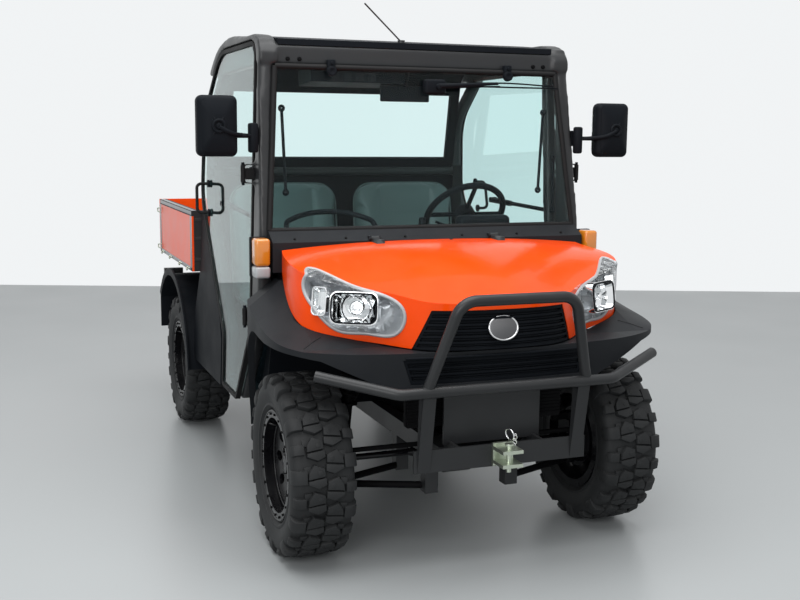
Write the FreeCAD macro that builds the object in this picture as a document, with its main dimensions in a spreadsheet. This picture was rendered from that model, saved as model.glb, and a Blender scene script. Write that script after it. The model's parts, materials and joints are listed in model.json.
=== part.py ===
import FreeCAD, Part
import math
import os
import Sketcher
from FreeCAD import Placement, Rotation, Vector

# Side by side utility vehicle, millimetres.
# Origin: on the ground, midway between the axles. +Z up, the front faces -Y, the vehicle's left is +X.

SIZES = [
    # wheels
    ("wheel_base", 2010), ("half_track", 602.6), ("tyre_radius", 330), ("tyre_width", 230),
    ("tread_facets", 22), ("tread_deep", 15), ("tread_long", 54), ("tread_row", 60),
    ("tread_gap", 5), ("shoulder_long", 46), ("wall_deep", 5),
    ("bead_radius", 204), ("barrel_radius", 180), ("barrel_width", 174), ("barrel_wall", 9),
    ("flange_radius", 200), ("flange_width", 9), ("fit_gap", 0.3), ("hub_radius", 60),
    ("hub_length", 56), ("disc_offset", 44), ("disc_thick", 12), ("spindle_radius", 19),
    ("window_count", 8), ("window_radius", 20), ("window_circle", 112),
    # steering and suspension
    ("kingpin_x", 500), ("upright_wide", 50), ("upright_deep", 84), ("upright_height", 150),
    ("brake_radius", 118), ("brake_width", 34), ("arm_tube_radius", 13), ("arm_spread", 150),
    ("arm_boss_radius", 25), ("arm_boss_height", 26), ("shaft_radius", 12),
    ("shaft_bore_radius", 34), ("diff_radius", 90), ("diff_width", 200), ("boot_radius", 38),
    ("spring_radius", 36), ("spring_wire_radius", 7), ("spring_turns", 7), ("damper_radius", 19),
    ("strut_low_x", 438), ("strut_high_x", 402), ("tower_z", 786), ("leaf_x", 360),
    ("leaf_wide", 50), ("leaf_thick", 8), ("leaf_reach", 400), ("leaf_rise", 12),
    ("axle_tube_radius", 32), ("axle_tube_back", 120),
    # frame
    ("rail_in_x", 135), ("rail_width", 50), ("rail_low_z", 362), ("rail_height", 66),
    ("rail_front_y", -1300), ("sheet_wall", 4), ("rail_rear_y", 1440), ("cross_deep", 50),
    ("post_deep", 60), ("plate_thick", 8), ("rest_y", 520), ("pin_radius", 8),
    # engine and transaxle
    ("engine_long", 390), ("engine_wide", 430), ("engine_high", 370), ("engine_rear_y", 950),
    # cab
    ("side_x", 702), ("side_foot_z", 420), ("side_lean_deg", 2), ("door_thick", 20),
    ("door_gap", 6), ("pane_thick", 6), ("gasket_width", 16), ("frame_wide", 46),
    ("frame_deep", 46), ("door_front_y", -600), ("door_rear_y", 478), ("door_top_z", 1865),
    ("hinge_x", 716), ("hinge_y", -620), ("hinge_radius", 9), ("hinge_tall", 64),
    ("hinge_high_z", 1358), ("hinge_low_z", 812), ("grip_y", 296), ("grip_high_z", 1280),
    ("grip_low_z", 1150), ("grip_out", 52), ("grip_radius", 7), ("glass_low_y", -720), ("glass_low_z", 1149),
    ("glass_top_y", -625), ("glass_top_z", 1761), ("glass_low_x", 634), ("glass_top_x", 586),
    ("pillar_wide", 52), ("pillar_deep", 88), ("header_high", 74), ("header_deep", 40),
    ("rail_crown_z", 1905), ("rail_front_top_y", -640), ("rail_rear_top_y", 330),
    ("rail_end_z", 1765), ("roof_thick", 22), ("rear_wall_y", 428), ("wall_thick", 22),
    ("rear_sill_z", 1350), ("floor_thick", 16), ("floor_front_y", -570), ("floor_half", 640),
    ("toe_top_y", -690), ("toe_top_z", 960), ("cowl_deep", 84), ("cowl_drop", 110),
    # inside the cab
    ("seat_front_y", -190), ("seat_base_z", 700), ("cushion_thick", 130), ("cushion_wide", 540),
    ("seat_gap", 62), ("back_thick", 100), ("back_top_z", 1300), ("back_lean_deg", 8),
    ("wheel_rim_radius", 176), ("wheel_rim_tube", 14), ("steer_x", 345), ("steer_y", -300),
    ("steer_z", 1165), ("steer_tilt_deg", 42), ("column_radius", 24), ("dash_rear_y", -500),
    ("dash_top_z", 1130), ("dash_low_z", 870),
    # front body
    ("hood_hinge_x", 250), ("hood_hinge_y", -800), ("hood_hinge_z", 1118), ("hood_hinge_wide", 30),
    ("hood_rear_y", -805), ("hood_nose_y", -1412), ("hood_half", 648), ("hood_low_z", 790),
    ("hood_top_z", 1110), ("hood_wall", 8), ("shut_line", 6), ("fascia_half", 745),
    ("fascia_rear_y", -600), ("fascia_nose_y", -1392), ("fascia_low_z", 660),
    ("arch_low_z", 380), ("arch_top_z", 800), ("arch_front_y", -900), ("flare_wide", 28),
    ("grille_half_top", 248), ("grille_half_low", 306), ("grille_top_z", 926),
    ("grille_low_z", 786), ("grille_deep", 30), ("lower_grille_half", 350),
    ("lower_grille_top_z", 762), ("lower_grille_low_z", 676), ("slat_pitch", 20),
    ("slat_thick", 7), ("slat_deep", 12), ("grille_border", 12), ("lamp_out_x", 618),
    ("lamp_in_x", 325), ("lamp_low_z", 832), ("lamp_high_z", 1040),
    ("lamp_deep", 90),
    # bull bar and hitch
    ("bar_radius", 19), ("bar_half", 398), ("bar_y", -1471), ("bar_z", 670),
    ("bar_end_x", 647), ("bar_end_y", -1340), ("bar_end_z", 723), ("hoop_foot_x", 299),
    ("hoop_foot_y", -1462), ("hoop_top_x", 211), ("hoop_top_y", -1533), ("hoop_top_z", 979),
    ("bar_bend", 70), ("hitch_half", 326), ("hitch_low_z", 380), ("hitch_high_z", 458),
    ("hitch_y", -1410), ("hitch_thick", 10), ("guard_top_z", 640), ("strap_x", 290), ("strap_wide", 46),
    ("clevis_wide", 76), ("clevis_deep", 90), ("clevis_ear", 12), ("clevis_gap", 40),
    ("clevis_pin_radius", 9),
    # lamps, mirrors, aerial
    ("turn_x", 688), ("turn_wide", 64), ("turn_low_z", 980), ("turn_high_z", 1129),
    ("turn_front_y", -812), ("turn_deep", 60), ("mirror_x", 829), ("mirror_y", -690),
    ("mirror_z", 1535), ("mirror_wide", 150), ("mirror_high", 222), ("mirror_deep", 66),
    ("mirror_arm_radius", 8), ("mirror_foot_z", 1500), ("mast_radius", 3), ("mast_long", 240),
    # rear body
    ("bed_half", 715), ("bed_front_y", 500), ("bed_rear_y", 1500), ("bed_low_z", 852),
    ("bed_top_z", 1143), ("bed_wall", 26), ("bed_floor_thick", 24), ("bed_rail", 34),
    ("bed_hinge_y", 1390), ("bed_hinge_z", 826), ("panel_thick", 10), ("tailgate_thick", 26),
    ("gate_hinge_z", 860), ("gate_hinge_x", 440), ("gate_hinge_wide", 110),
    ("fender_radius", 442), ("fender_wall", 8),
    ("fender_in_x", 500), ("fender_out_x", 742), ("lip_high", 36),
    ("cylinder_foot_y", 560), ("cylinder_foot_z", 486), ("cylinder_x", 245),
    ("cylinder_radius", 30), ("rod_radius", 16), ("rod_eye_y", 1200), ("rod_eye_z", 806),
    ("drawbar_rear_y", 1568), ("drawbar_hole_radius", 13),
]

doc = FreeCAD.newDocument("side_by_side_utv")
sheet = doc.addObject("Spreadsheet::Sheet", "Sizes")
for row, (alias, value) in enumerate(SIZES, 1):
    sheet.set("A%d" % row, alias)
    sheet.set("B%d" % row, str(value))
    sheet.setAlias("B%d" % row, alias)
doc.recompute()


class SheetValues:
    """Reads a driving dimension from the sheet by its alias."""

    def __getattr__(self, alias):
        return float(sheet.get(alias))


v = SheetValues()
NODES = []
X, Y, Z = Vector(1, 0, 0), Vector(0, 1, 0), Vector(0, 0, 1)
ORIGIN = Vector(0, 0, 0)
OVERRUN = v.plate_thick
axle_y = v.wheel_base / 2


# Helpers for shapes

def node(name, shape):
    """A sub-part whose shape is made by Part's own functions."""
    piece = doc.addObject("Part::Feature", name)
    piece.Label = name
    piece.Shape = shape
    piece.Placement = shape.Placement
    NODES.append(piece)
    return piece


def box(x0, x1, y0, y1, z0, z1):
    """A block between two corners."""
    return Part.makeBox(x1 - x0, y1 - y0, z1 - z0, Vector(x0, y0, z0))


def rod(start, end, radius):
    """A round bar from one point to another."""
    run = end - start
    return Part.makeCylinder(radius, run.Length, start, run)


def fuse(shapes):
    """One solid from several that touch."""
    return shapes[0].multiFuse(shapes[1:]).removeSplitter()


def mirrored(shape):
    """The same shape on the other side of the vehicle."""
    return shape.mirror(ORIGIN, X)


def both_sides(shape):
    """A shape and its mirror image, as solids of one node."""
    return Part.makeCompound([shape, mirrored(shape)])


def spread(shares, first, last):
    """Outline points from shares of the two spans (a0, a1) and (b0, b1)."""
    return [(first[0] + a * (first[1] - first[0]), last[0] + b * (last[1] - last[0])) for a, b in shares]


def yz(points, at_x=0):
    return [Vector(at_x, a, b) for a, b in points]


def xy(points, at_z=0):
    return [Vector(a, b, at_z) for a, b in points]


def xz(points, at_y=0):
    return [Vector(a, at_y, b) for a, b in points]


def smooth(points):
    """A curve through all the points."""
    curve = Part.BSplineCurve()
    curve.interpolate(points)
    return curve.toShape()


def rounded(corners):
    """A closed outline of straight runs and tangent arcs. Each corner is a point and its radius."""
    edges = []
    ends = []
    count = len(corners)
    for index, (corner, radius) in enumerate(corners):
        back = (corners[index - 1][0] - corner).normalize()
        ahead = (corners[(index + 1) % count][0] - corner).normalize()
        half = back.getAngle(ahead) / 2
        reach = radius / math.tan(half)
        start, end = corner + back * reach, corner + ahead * reach
        middle = corner + (back + ahead).normalize() * (radius / math.sin(half) - radius)
        ends.append((start, middle, end))
    for index, (start, middle, end) in enumerate(ends):
        edges.append(Part.Arc(start, middle, end).toShape())
        edges.append(Part.makeLine(end, ends[(index + 1) % count][0]))
    return Part.Wire(edges)


def lines(points):
    """Straight edges from point to point."""
    return [Part.makeLine(a, b) for a, b in zip(points, points[1:])]


def closed_lines(points):
    return Part.Wire(lines(points + points[:1]))


def extruded(wire, run):
    """A solid from a closed wire and a direction with its length."""
    solid = Part.Face(wire).extrude(run)
    if solid.Volume < 0:
        solid.reverse()
    return solid


def bent_path(points, bend):
    """Straight runs joined by tangent arcs."""
    edges = []
    last = points[0]
    for before, corner, after in zip(points, points[1:], points[2:]):
        back = (before - corner).normalize()
        ahead = (after - corner).normalize()
        half = back.getAngle(ahead) / 2
        reach = bend / math.tan(half)
        start = corner + back * reach
        end = corner + ahead * reach
        inward = (back + ahead).normalize()
        middle = corner + inward * (bend / math.sin(half) - bend)
        edges.append(Part.makeLine(last, start))
        edges.append(Part.Arc(start, middle, end).toShape())
        last = end
    edges.append(Part.makeLine(last, points[-1]))
    return Part.Wire(edges)


def tube(points, radius, bend):
    """A round bar bent along a path."""
    path = bent_path(points, bend)
    circle = Part.Wire(Part.makeCircle(radius, points[0], points[1] - points[0]))
    return path.makePipeShell([circle], True, False)


# Helpers for bodies made from sketches

def new_body(name):
    body = doc.addObject("PartDesign::Body", name)
    body.Label = name
    NODES.append(body)
    return body


def sketch(body, name, role, points):
    """A closed outline on an origin plane of the body, each point a pair of expressions."""
    plane = [item for item in body.Origin.OriginFeatures if item.Role == role][0]
    drawn = body.newObject("Sketcher::SketchObject", name)
    drawn.AttachmentSupport = [(plane, "")]
    drawn.MapMode = "FlatFace"
    count = len(points)
    start = []
    for index in range(count):
        turn = math.tau * index / count
        start.append(Vector(math.cos(turn), math.sin(turn), 0))
    for index in range(count):
        drawn.addGeometry(Part.LineSegment(start[index], start[(index + 1) % count]))
    for index in range(count):
        drawn.addConstraint(Sketcher.Constraint("Coincident", index, 2, (index + 1) % count, 1))
    for index, place in enumerate(points):
        for kind, letter, value in zip(("DistanceX", "DistanceY"), "xy", place):
            here = start[index].x if letter == "x" else start[index].y
            number = drawn.addConstraint(Sketcher.Constraint(kind, -1, 1, index, 1, here))
            label = "point_%d_%s" % (index, letter)
            drawn.renameConstraint(number, label)
            drawn.setExpression("Constraints." + label, value)
    return drawn


def revolved(body, profile, name):
    """A full turn of the outline about the sketch's horizontal axis."""
    turned = body.newObject("PartDesign::Revolution", name)
    turned.Profile = profile
    turned.ReferenceAxis = (profile, ["H_Axis"])
    turned.Angle = 360
    return turned


# Wheels

# the tyre's section from bead to tread: shares of the half width and of the wall's height
TYRE_SHARES = [(0.0, 0.0), (0.87, 0.42), (0.83, 0.86), (0.28, 1.0)]


def ring_corner(x, radius, index):
    """A corner of a ring of flat facets whose first facet lies at the bottom."""
    turn = math.tau / v.tread_facets
    angle = turn * (index - 0.5) - math.pi / 2
    reach = radius / math.cos(turn / 2)
    return Vector(x, math.cos(angle) * reach, math.sin(angle) * reach)


def tyre_carcass():
    """The tyre without its tread, a ring of flat facets about the X axis."""
    bead, low = v.barrel_width / 2, v.barrel_radius + v.fit_gap
    high = v.tyre_radius - v.tread_deep
    span = (bead, v.tyre_width / 2), (v.bead_radius, high)
    right = [(bead, low)] + spread(TYRE_SHARES, *span)
    section = right + [(-x, radius) for x, radius in reversed(right)]
    faces = []
    for (x0, r0), (x1, r1) in zip(section, section[1:] + section[:1]):
        for index in range(int(v.tread_facets)):
            corners = [ring_corner(x0, r0, index), ring_corner(x0, r0, index + 1),
                       ring_corner(x1, r1, index + 1), ring_corner(x1, r1, index)]
            faces.append(Part.Face(closed_lines(corners)))
    solid = Part.makeSolid(Part.makeShell(faces))
    if solid.Volume < 0:
        solid.reverse()
    return solid


def tread_block(outline, length, index):
    """A tread lug on one facet, from its outline across the tyre and its length round it."""
    corners = [Vector(x, -length / 2, -radius) for x, radius in outline]
    lug = extruded(closed_lines(corners), Y * length)
    lug.rotate(ORIGIN, X, 360 / v.tread_facets * index)
    return lug


def tyre_shape():
    """A tyre with two staggered rows of centre lugs and staggered shoulder lugs."""
    low = v.tyre_radius - v.tread_deep * 1.5
    row_in, row_out = v.tread_gap / 2, v.tread_gap / 2 + v.tread_row
    centre = [(row_in, low), (row_out, low), (row_out, v.tyre_radius), (row_in, v.tyre_radius)]
    edge_in, edge_out = row_out + v.tread_gap, v.tyre_width / 2
    foot = v.tyre_radius - v.tread_deep * 4
    shoulder = [(edge_in, low), (edge_in, v.tyre_radius - v.fit_gap),
                (edge_out - v.tread_deep, v.tyre_radius - v.wall_deep),
                (edge_out, v.tyre_radius - v.tread_deep * 1.6), (edge_out, foot + v.wall_deep),
                (edge_out - v.wall_deep * 2, foot)]
    lugs = []
    for index in range(int(v.tread_facets)):
        side = 1 if index % 2 else -1
        lugs.append(tread_block([(x * side, radius) for x, radius in centre], v.tread_long, index))
        lugs.append(tread_block([(x * -side, radius) for x, radius in shoulder], v.shoulder_long, index))
    return fuse([tyre_carcass()] + lugs)


def make_rim(name, x_expression, y_expression, turned):
    body = new_body(name)
    edge = "Sizes.barrel_width / 2"
    lip = "(%s + Sizes.flange_width)" % edge
    inner = "(Sizes.barrel_radius - Sizes.barrel_wall)"
    bore = "(Sizes.spindle_radius + Sizes.fit_gap)"
    face = "Sizes.disc_offset"
    back = "(Sizes.disc_offset - Sizes.disc_thick)"
    points = [
        (face, bore),
        (face, "Sizes.hub_radius * 0.7"),
        (face + " - Sizes.disc_thick * 0.5", "Sizes.hub_radius"),
        (face + " + Sizes.disc_thick", "Sizes.window_circle + Sizes.window_radius * 1.3"),
        (face + " + Sizes.disc_thick", inner),
        (lip, inner),
        (lip, "Sizes.flange_radius"),
        (edge, "Sizes.flange_radius"),
        (edge, "Sizes.barrel_radius"),
        ("-" + edge, "Sizes.barrel_radius"),
        ("-" + edge, "Sizes.flange_radius"),
        ("-" + lip, "Sizes.flange_radius"),
        ("-" + lip, inner),
        (back + " + Sizes.disc_thick", inner),
        (back + " + Sizes.disc_thick", "Sizes.window_circle + Sizes.window_radius * 1.3"),
        (back, "Sizes.hub_radius"),
        (back + " - Sizes.disc_thick", "Sizes.hub_radius * 0.7"),
        (back + " - Sizes.disc_thick", bore),
    ]
    profile = sketch(body, name + "_section", "XY_Plane", points)
    revolved(body, profile, name + "_barrel")
    hole = body.newObject("Sketcher::SketchObject", name + "_window")
    plane = [item for item in body.Origin.OriginFeatures if item.Role == "YZ_Plane"][0]
    hole.AttachmentSupport = [(plane, "")]
    hole.MapMode = "FlatFace"
    hole.addGeometry(Part.Circle(Vector(0, v.window_circle, 0), Z, v.window_radius))
    hole.addConstraint(Sketcher.Constraint("PointOnObject", 0, 3, -2))
    number = hole.addConstraint(Sketcher.Constraint("DistanceY", -1, 1, 0, 3, v.window_circle))
    hole.renameConstraint(number, "circle")
    hole.setExpression("Constraints.circle", "Sizes.window_circle")
    number = hole.addConstraint(Sketcher.Constraint("Radius", 0, v.window_radius))
    hole.renameConstraint(number, "size")
    hole.setExpression("Constraints.size", "Sizes.window_radius")
    cut = body.newObject("PartDesign::Pocket", name + "_cut")
    cut.Profile = hole
    cut.Type = "ThroughAll"
    cut.Midplane = True
    doc.recompute()
    ring = body.newObject("PartDesign::PolarPattern", name + "_windows")
    ring.Originals = [cut]
    ring.Axis = (profile, ["H_Axis"])
    ring.Angle = 360
    ring.setExpression("Occurrences", "Sizes.window_count")
    body.Tip = ring
    body.setExpression("Placement.Base.x", x_expression)
    body.setExpression("Placement.Base.y", y_expression)
    body.setExpression("Placement.Base.z", "Sizes.tyre_radius")
    if turned:
        body.Placement.Rotation = Rotation(Z, 180)
    return body


CORNERS = [("fl", 1, -1), ("fr", -1, -1), ("rl", 1, 1), ("rr", -1, 1)]


def make_wheels():
    tyre = tyre_shape()
    for corner, side, end in CORNERS:
        x_expression = "%d * Sizes.half_track" % side
        y_expression = "%d * Sizes.wheel_base / 2" % end
        piece = node("tyre_" + corner, tyre.copy())
        piece.setExpression("Placement.Base.x", x_expression)
        piece.setExpression("Placement.Base.y", y_expression)
        piece.setExpression("Placement.Base.z", "Sizes.tyre_radius")
        make_rim("rim_" + corner, x_expression, y_expression, side < 0)


# Knuckles, axles and suspension

def at_hub(x, y):
    return Vector(x, y, v.tyre_radius)


def upright(y):
    """The left hub carrier: a bored block, a brake drum and the wheel's spindle."""
    half_wide = v.upright_wide / 2
    half_deep = v.upright_deep / 2
    half_high = v.upright_height / 2
    block = box(v.kingpin_x - half_wide, v.kingpin_x + half_wide, y - half_deep, y + half_deep,
                v.tyre_radius - half_high, v.tyre_radius + half_high)
    drum_x = v.kingpin_x + half_wide
    drum = rod(at_hub(drum_x, y), at_hub(drum_x + v.brake_width, y), v.brake_radius)
    bore = rod(at_hub(v.kingpin_x - v.upright_wide, y), at_hub(drum_x, y), v.shaft_bore_radius)
    spindle = rod(at_hub(drum_x, y), at_hub(v.half_track + v.disc_offset, y), v.spindle_radius)
    return fuse([block.cut(bore), drum, spindle])


def make_knuckles():
    left = upright(-axle_y)
    node("knuckle_left", left)
    node("knuckle_right", mirrored(left))


def lower_arm(y):
    """The left wishbone: two tubes from the frame bracket to a boss under the kingpin."""
    boss_top = v.tyre_radius - v.upright_height / 2 - v.fit_gap
    tip = Vector(v.kingpin_x, y, boss_top - v.arm_boss_height / 2)
    boss = Part.makeCylinder(v.arm_boss_radius, v.arm_boss_height, tip - Z * (v.arm_boss_height / 2))
    legs = [rod(Vector(v.rail_in_x, y + side * v.arm_spread, tip.z), tip, v.arm_tube_radius)
            for side in (-1, 1)]
    wall_x = v.rail_in_x + v.rail_width + v.fit_gap
    inside = box(0, wall_x, y - v.half_track, y + v.half_track, 0, v.half_track)
    return fuse(legs + [boss]).cut(inside)


def strut(y):
    """The left spring strut, from a boss over the kingpin to its tower."""
    boss_low = v.tyre_radius + v.upright_height / 2 + v.fit_gap
    boss = Part.makeCylinder(v.arm_boss_radius, v.arm_boss_height, Vector(v.kingpin_x, y, boss_low))
    foot = Vector(v.strut_low_x, y, boss_low)
    head = Vector(v.strut_high_x, y, v.tower_z - v.fit_gap)
    run = head - foot
    web = box(v.strut_low_x, v.kingpin_x, y - v.damper_radius, y + v.damper_radius, boss_low,
              boss_low + v.arm_boss_height)
    body = rod(foot, foot + run * 0.62, v.damper_radius)
    stem = rod(foot, foot + run * 0.98, v.damper_radius / 2)
    cap = Part.makeCylinder(v.spring_radius, v.spring_wire_radius, head - Z * v.spring_wire_radius)
    pan_place = foot + run * 0.34
    pan = rod(pan_place, pan_place + run * (v.spring_wire_radius / run.Length), v.spring_radius)
    one = run * (1 / run.Length)
    first = pan_place + one * (v.spring_wire_radius * 2 + v.fit_gap)
    last = head - one * (v.spring_wire_radius * 2 + v.fit_gap * 2)
    pitch = (last - first).Length / v.spring_turns
    coil_radius = v.spring_radius - v.spring_wire_radius
    helix = Part.makeHelix(pitch, (last - first).Length, coil_radius)
    section = Part.Wire(Part.makeCircle(v.spring_wire_radius, Vector(coil_radius, 0, 0), Y))
    coil = Part.Wire(helix).makePipeShell([section], True, True)
    coil.Placement = Placement(first, Rotation(Z, run))
    return Part.makeCompound([fuse([boss, web, body, stem, pan]), coil, cap])


def make_front_suspension():
    y = -axle_y
    node("front_suspension", both_sides(Part.makeCompound([lower_arm(y), strut(y)])))


def drive_unit(y):
    """A final drive with its two half shafts and rubber boots."""
    half = v.diff_width / 2
    case = rod(Vector(-half, y, v.tyre_radius), Vector(half, y, v.tyre_radius), v.diff_radius * 0.8)
    crown = rod(Vector(-half / 2, y, v.tyre_radius), Vector(half / 2, y, v.tyre_radius), v.diff_radius)
    shaft_end = v.kingpin_x - v.arm_boss_radius / 2
    shaft = rod(at_hub(-shaft_end, y), at_hub(shaft_end, y), v.shaft_radius)
    boots = []
    for side in (-1, 1):
        wide = at_hub(side * half, y)
        boots.append(Part.makeCone(v.boot_radius, v.shaft_radius, v.diff_radius, wide, X * side))
    seat_x = v.rail_in_x - v.fit_gap
    yoke = box(-seat_x, seat_x, y - v.cross_deep / 2, y + v.cross_deep / 2, v.rail_low_z + v.sheet_wall,
               v.rail_low_z + v.bar_radius * 2)
    return fuse([case, crown, shaft, yoke] + boots)


def make_front_axle():
    node("front_axle", drive_unit(-axle_y))


def make_rear_axle():
    """Final drive, hub carriers and the tube that joins the carriers behind it."""
    y = axle_y
    carrier = upright(y)
    tube_y = y + v.axle_tube_back
    half_deep = v.upright_deep / 2
    seat_high = leaf_low_z() - v.fit_gap
    seat = box(v.leaf_x - v.leaf_wide / 2, v.leaf_x + v.leaf_wide / 2, y - half_deep, tube_y,
               v.tyre_radius + v.shaft_radius + v.door_gap, seat_high)
    lug = box(v.kingpin_x - v.upright_wide / 2, v.kingpin_x + v.upright_wide / 2, y + half_deep, tube_y,
              v.tyre_radius - v.axle_tube_radius, v.tyre_radius + v.axle_tube_radius)
    beam = rod(at_hub(-v.kingpin_x, tube_y), at_hub(v.kingpin_x, tube_y), v.axle_tube_radius)
    dead_axle = fuse([carrier, lug, seat, mirrored(carrier), mirrored(lug), mirrored(seat), beam])
    node("rear_axle", Part.makeCompound([drive_unit(y), dead_axle]))


def leaf_low_z():
    """Underside of the leaf springs over the axle."""
    return v.tyre_radius + v.axle_tube_radius + v.leaf_thick


def leaf_end_z():
    """Top of the main leaf at its ends, under the hangers."""
    return leaf_low_z() + v.leaf_thick * 3 + v.leaf_rise


LEAF_LENGTH_SHARES = (0.45, 0.7, 1.0)


def leaf(length, low_z):
    """One bowed leaf, centred on the rear axle."""
    y0, y1 = axle_y - length, axle_y + length
    rise = v.leaf_rise * (length / v.leaf_reach) ** 2
    low = [Vector(v.leaf_x, y0, low_z + rise), Vector(v.leaf_x, axle_y, low_z),
           Vector(v.leaf_x, y1, low_z + rise)]
    high = [point + Z * v.leaf_thick for point in low]
    edges = [Part.Arc(*low).toShape(), Part.makeLine(low[2], high[2]),
             Part.Arc(*high[::-1]).toShape(), Part.makeLine(high[0], low[0])]
    face = Part.Face(Part.Wire(edges))
    face.translate(X * (-v.leaf_wide / 2))
    return face.extrude(X * v.leaf_wide)


def make_rear_suspension():
    """Leaf springs between the rear axle's seats and the frame's hangers."""
    low = leaf_low_z()
    leaves = [leaf(v.leaf_reach * share, low + v.leaf_thick * step)
              for step, share in enumerate(LEAF_LENGTH_SHARES)]
    node("rear_suspension", both_sides(fuse(leaves)))


def make_engine():
    """The engine under the bed, as one block at its real place and size."""
    block = doc.addObject("Part::Box", "engine_block")
    block.Label = "engine_block"
    block.setExpression("Length", "Sizes.engine_wide")
    block.setExpression("Width", "Sizes.engine_long")
    block.setExpression("Height", "Sizes.engine_high")
    block.setExpression("Placement.Base.x", "-Sizes.engine_wide * 0.62")
    block.setExpression("Placement.Base.y", "Sizes.engine_rear_y - Sizes.engine_long")
    block.setExpression("Placement.Base.z", "Sizes.rail_low_z + Sizes.rail_height")
    NODES.append(block)


# Frame

# crossmembers, as shares of the frame's length
CROSS_SHARES = (0.0, 0.045, 0.156, 0.275, 0.4, 0.52, 0.643, 0.743, 0.8, 0.9, 1.0)


def make_frame():
    """Two rails with crossmembers, spring towers and hangers, and the bed's rests, pivots and lift bracket."""
    low, high = v.rail_low_z, v.rail_low_z + v.rail_height
    out_x = v.rail_in_x + v.rail_width
    rail = box(v.rail_in_x, out_x, v.rail_front_y, v.rail_rear_y, low, high)
    half_parts = [rail]
    for side in (-1, 1):
        y = -axle_y + side * v.arm_spread
        half_parts.append(box(v.rail_in_x, out_x, y - v.cross_deep / 2, y + v.cross_deep / 2,
                              v.tyre_radius - v.upright_height / 2 - v.arm_boss_height - OVERRUN, low))
        hanger_y = axle_y + side * v.leaf_reach
        half_parts.append(box(out_x, v.leaf_x + v.leaf_wide / 2, hanger_y - v.cross_deep / 2,
                              hanger_y + v.cross_deep / 2, leaf_end_z() + v.fit_gap, high))
    post_y0, post_y1 = -axle_y - v.post_deep / 2, -axle_y + v.post_deep / 2
    half_parts.append(box(out_x - v.plate_thick, out_x, post_y0, post_y1, low, v.tower_z))
    half_parts.append(box(v.rail_in_x, v.strut_high_x + v.spring_radius, post_y0, post_y1, v.tower_z,
                          v.tower_z + v.plate_thick))
    half_parts.append(box(v.rail_in_x, out_x, v.rest_y - v.rod_radius, v.rest_y + v.rod_radius, low,
                          v.bed_low_z - v.fit_gap))
    pivot = fuse([box(v.rail_in_x, out_x, v.bed_hinge_y - v.bar_radius, v.bed_hinge_y + v.bar_radius, low,
                      v.bed_hinge_z),
                  rod(Vector(v.rail_in_x, v.bed_hinge_y, v.bed_hinge_z),
                      Vector(out_x, v.bed_hinge_y, v.bed_hinge_z), v.bar_radius)])
    bore = rod(Vector(0, v.bed_hinge_y, v.bed_hinge_z), Vector(v.leaf_x, v.bed_hinge_y, v.bed_hinge_z),
               v.pin_radius + v.fit_gap)
    half_parts.append(pivot.cut(bore))
    crosses = []
    span = v.rail_rear_y - v.rail_front_y - v.cross_deep
    for share in CROSS_SHARES:
        y = v.rail_front_y + span * share
        crosses.append(box(-v.rail_in_x, v.rail_in_x, y, y + v.cross_deep, low, high - v.sheet_wall))
    half = fuse(half_parts)
    node("frame", fuse([half, mirrored(half)] + crosses + lift_bracket()))


def lift_bracket():
    """The shelf and cheeks that hold the lift cylinder's foot."""
    out_x = v.rail_in_x + v.rail_width
    high = v.rail_low_z + v.rail_height
    cheek_in = v.rod_radius + v.fit_gap
    cheek_out = cheek_in + v.plate_thick
    y0, y1 = v.cylinder_foot_y - v.bar_radius, v.cylinder_foot_y + v.bar_radius
    top = v.cylinder_foot_z + v.pin_radius * 1.5
    pieces = [box(out_x - v.plate_thick, v.cylinder_x + cheek_out, y0, y1, high - v.bar_radius, high)]
    for x0, x1 in ((-cheek_out, -cheek_in), (cheek_in, cheek_out)):
        pieces.append(box(v.cylinder_x + x0, v.cylinder_x + x1, y0, y1, high - v.bar_radius, top))
    foot = Vector(v.cylinder_x, v.cylinder_foot_y, v.cylinder_foot_z)
    pieces.append(rod(foot - X * cheek_out, foot + X * cheek_out, v.pin_radius))
    return pieces


def make_skid_plate():
    """The plate under the middle of the frame."""
    half = v.rail_in_x + v.rail_width
    base = box(-half, half, -axle_y + v.arm_spread + v.cross_deep, axle_y - v.leaf_reach - v.cross_deep,
               v.rail_low_z - v.sheet_wall, v.rail_low_z)
    node("skid_plate", base)


# Cab

# each corner of the door: its share of the length and of the height, and its radius as a share of the height
DOOR_CORNER_SHARES = [
    (0.213, 0.0, 0.012), (0.0, 0.227, 0.17), (0.023, 1.0, 0.055), (0.657, 1.0, 0.24), (0.983, 0.808, 0.17),
    (1.0, 0.543, 0.15), (0.483, 0.157, 0.06), (0.483, 0.0, 0.02),
]


def side_place(shape):
    """Leans a flat side inwards at the top. It is drawn with x = 0 as its outer face."""
    lean = Placement(Vector(v.side_x, 0, v.side_foot_z), Rotation(Y, -v.side_lean_deg))
    moved = shape.copy()
    moved.Placement = lean
    return moved


def side_x_at(z):
    """Outer face of the leaning side at a height."""
    return v.side_x - (z - v.side_foot_z) * math.tan(math.radians(v.side_lean_deg))


def door_wire(at_x):
    long, high = v.door_rear_y - v.door_front_y, v.door_top_z - v.side_foot_z
    corners = []
    for along, up, radius in DOOR_CORNER_SHARES:
        corners.append((Vector(at_x, v.door_front_y + long * along, high * up), high * radius))
    return rounded(corners)


def inset(wire, distance):
    """The same outline a little smaller."""
    return wire.makeOffset2D(-distance)


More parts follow.
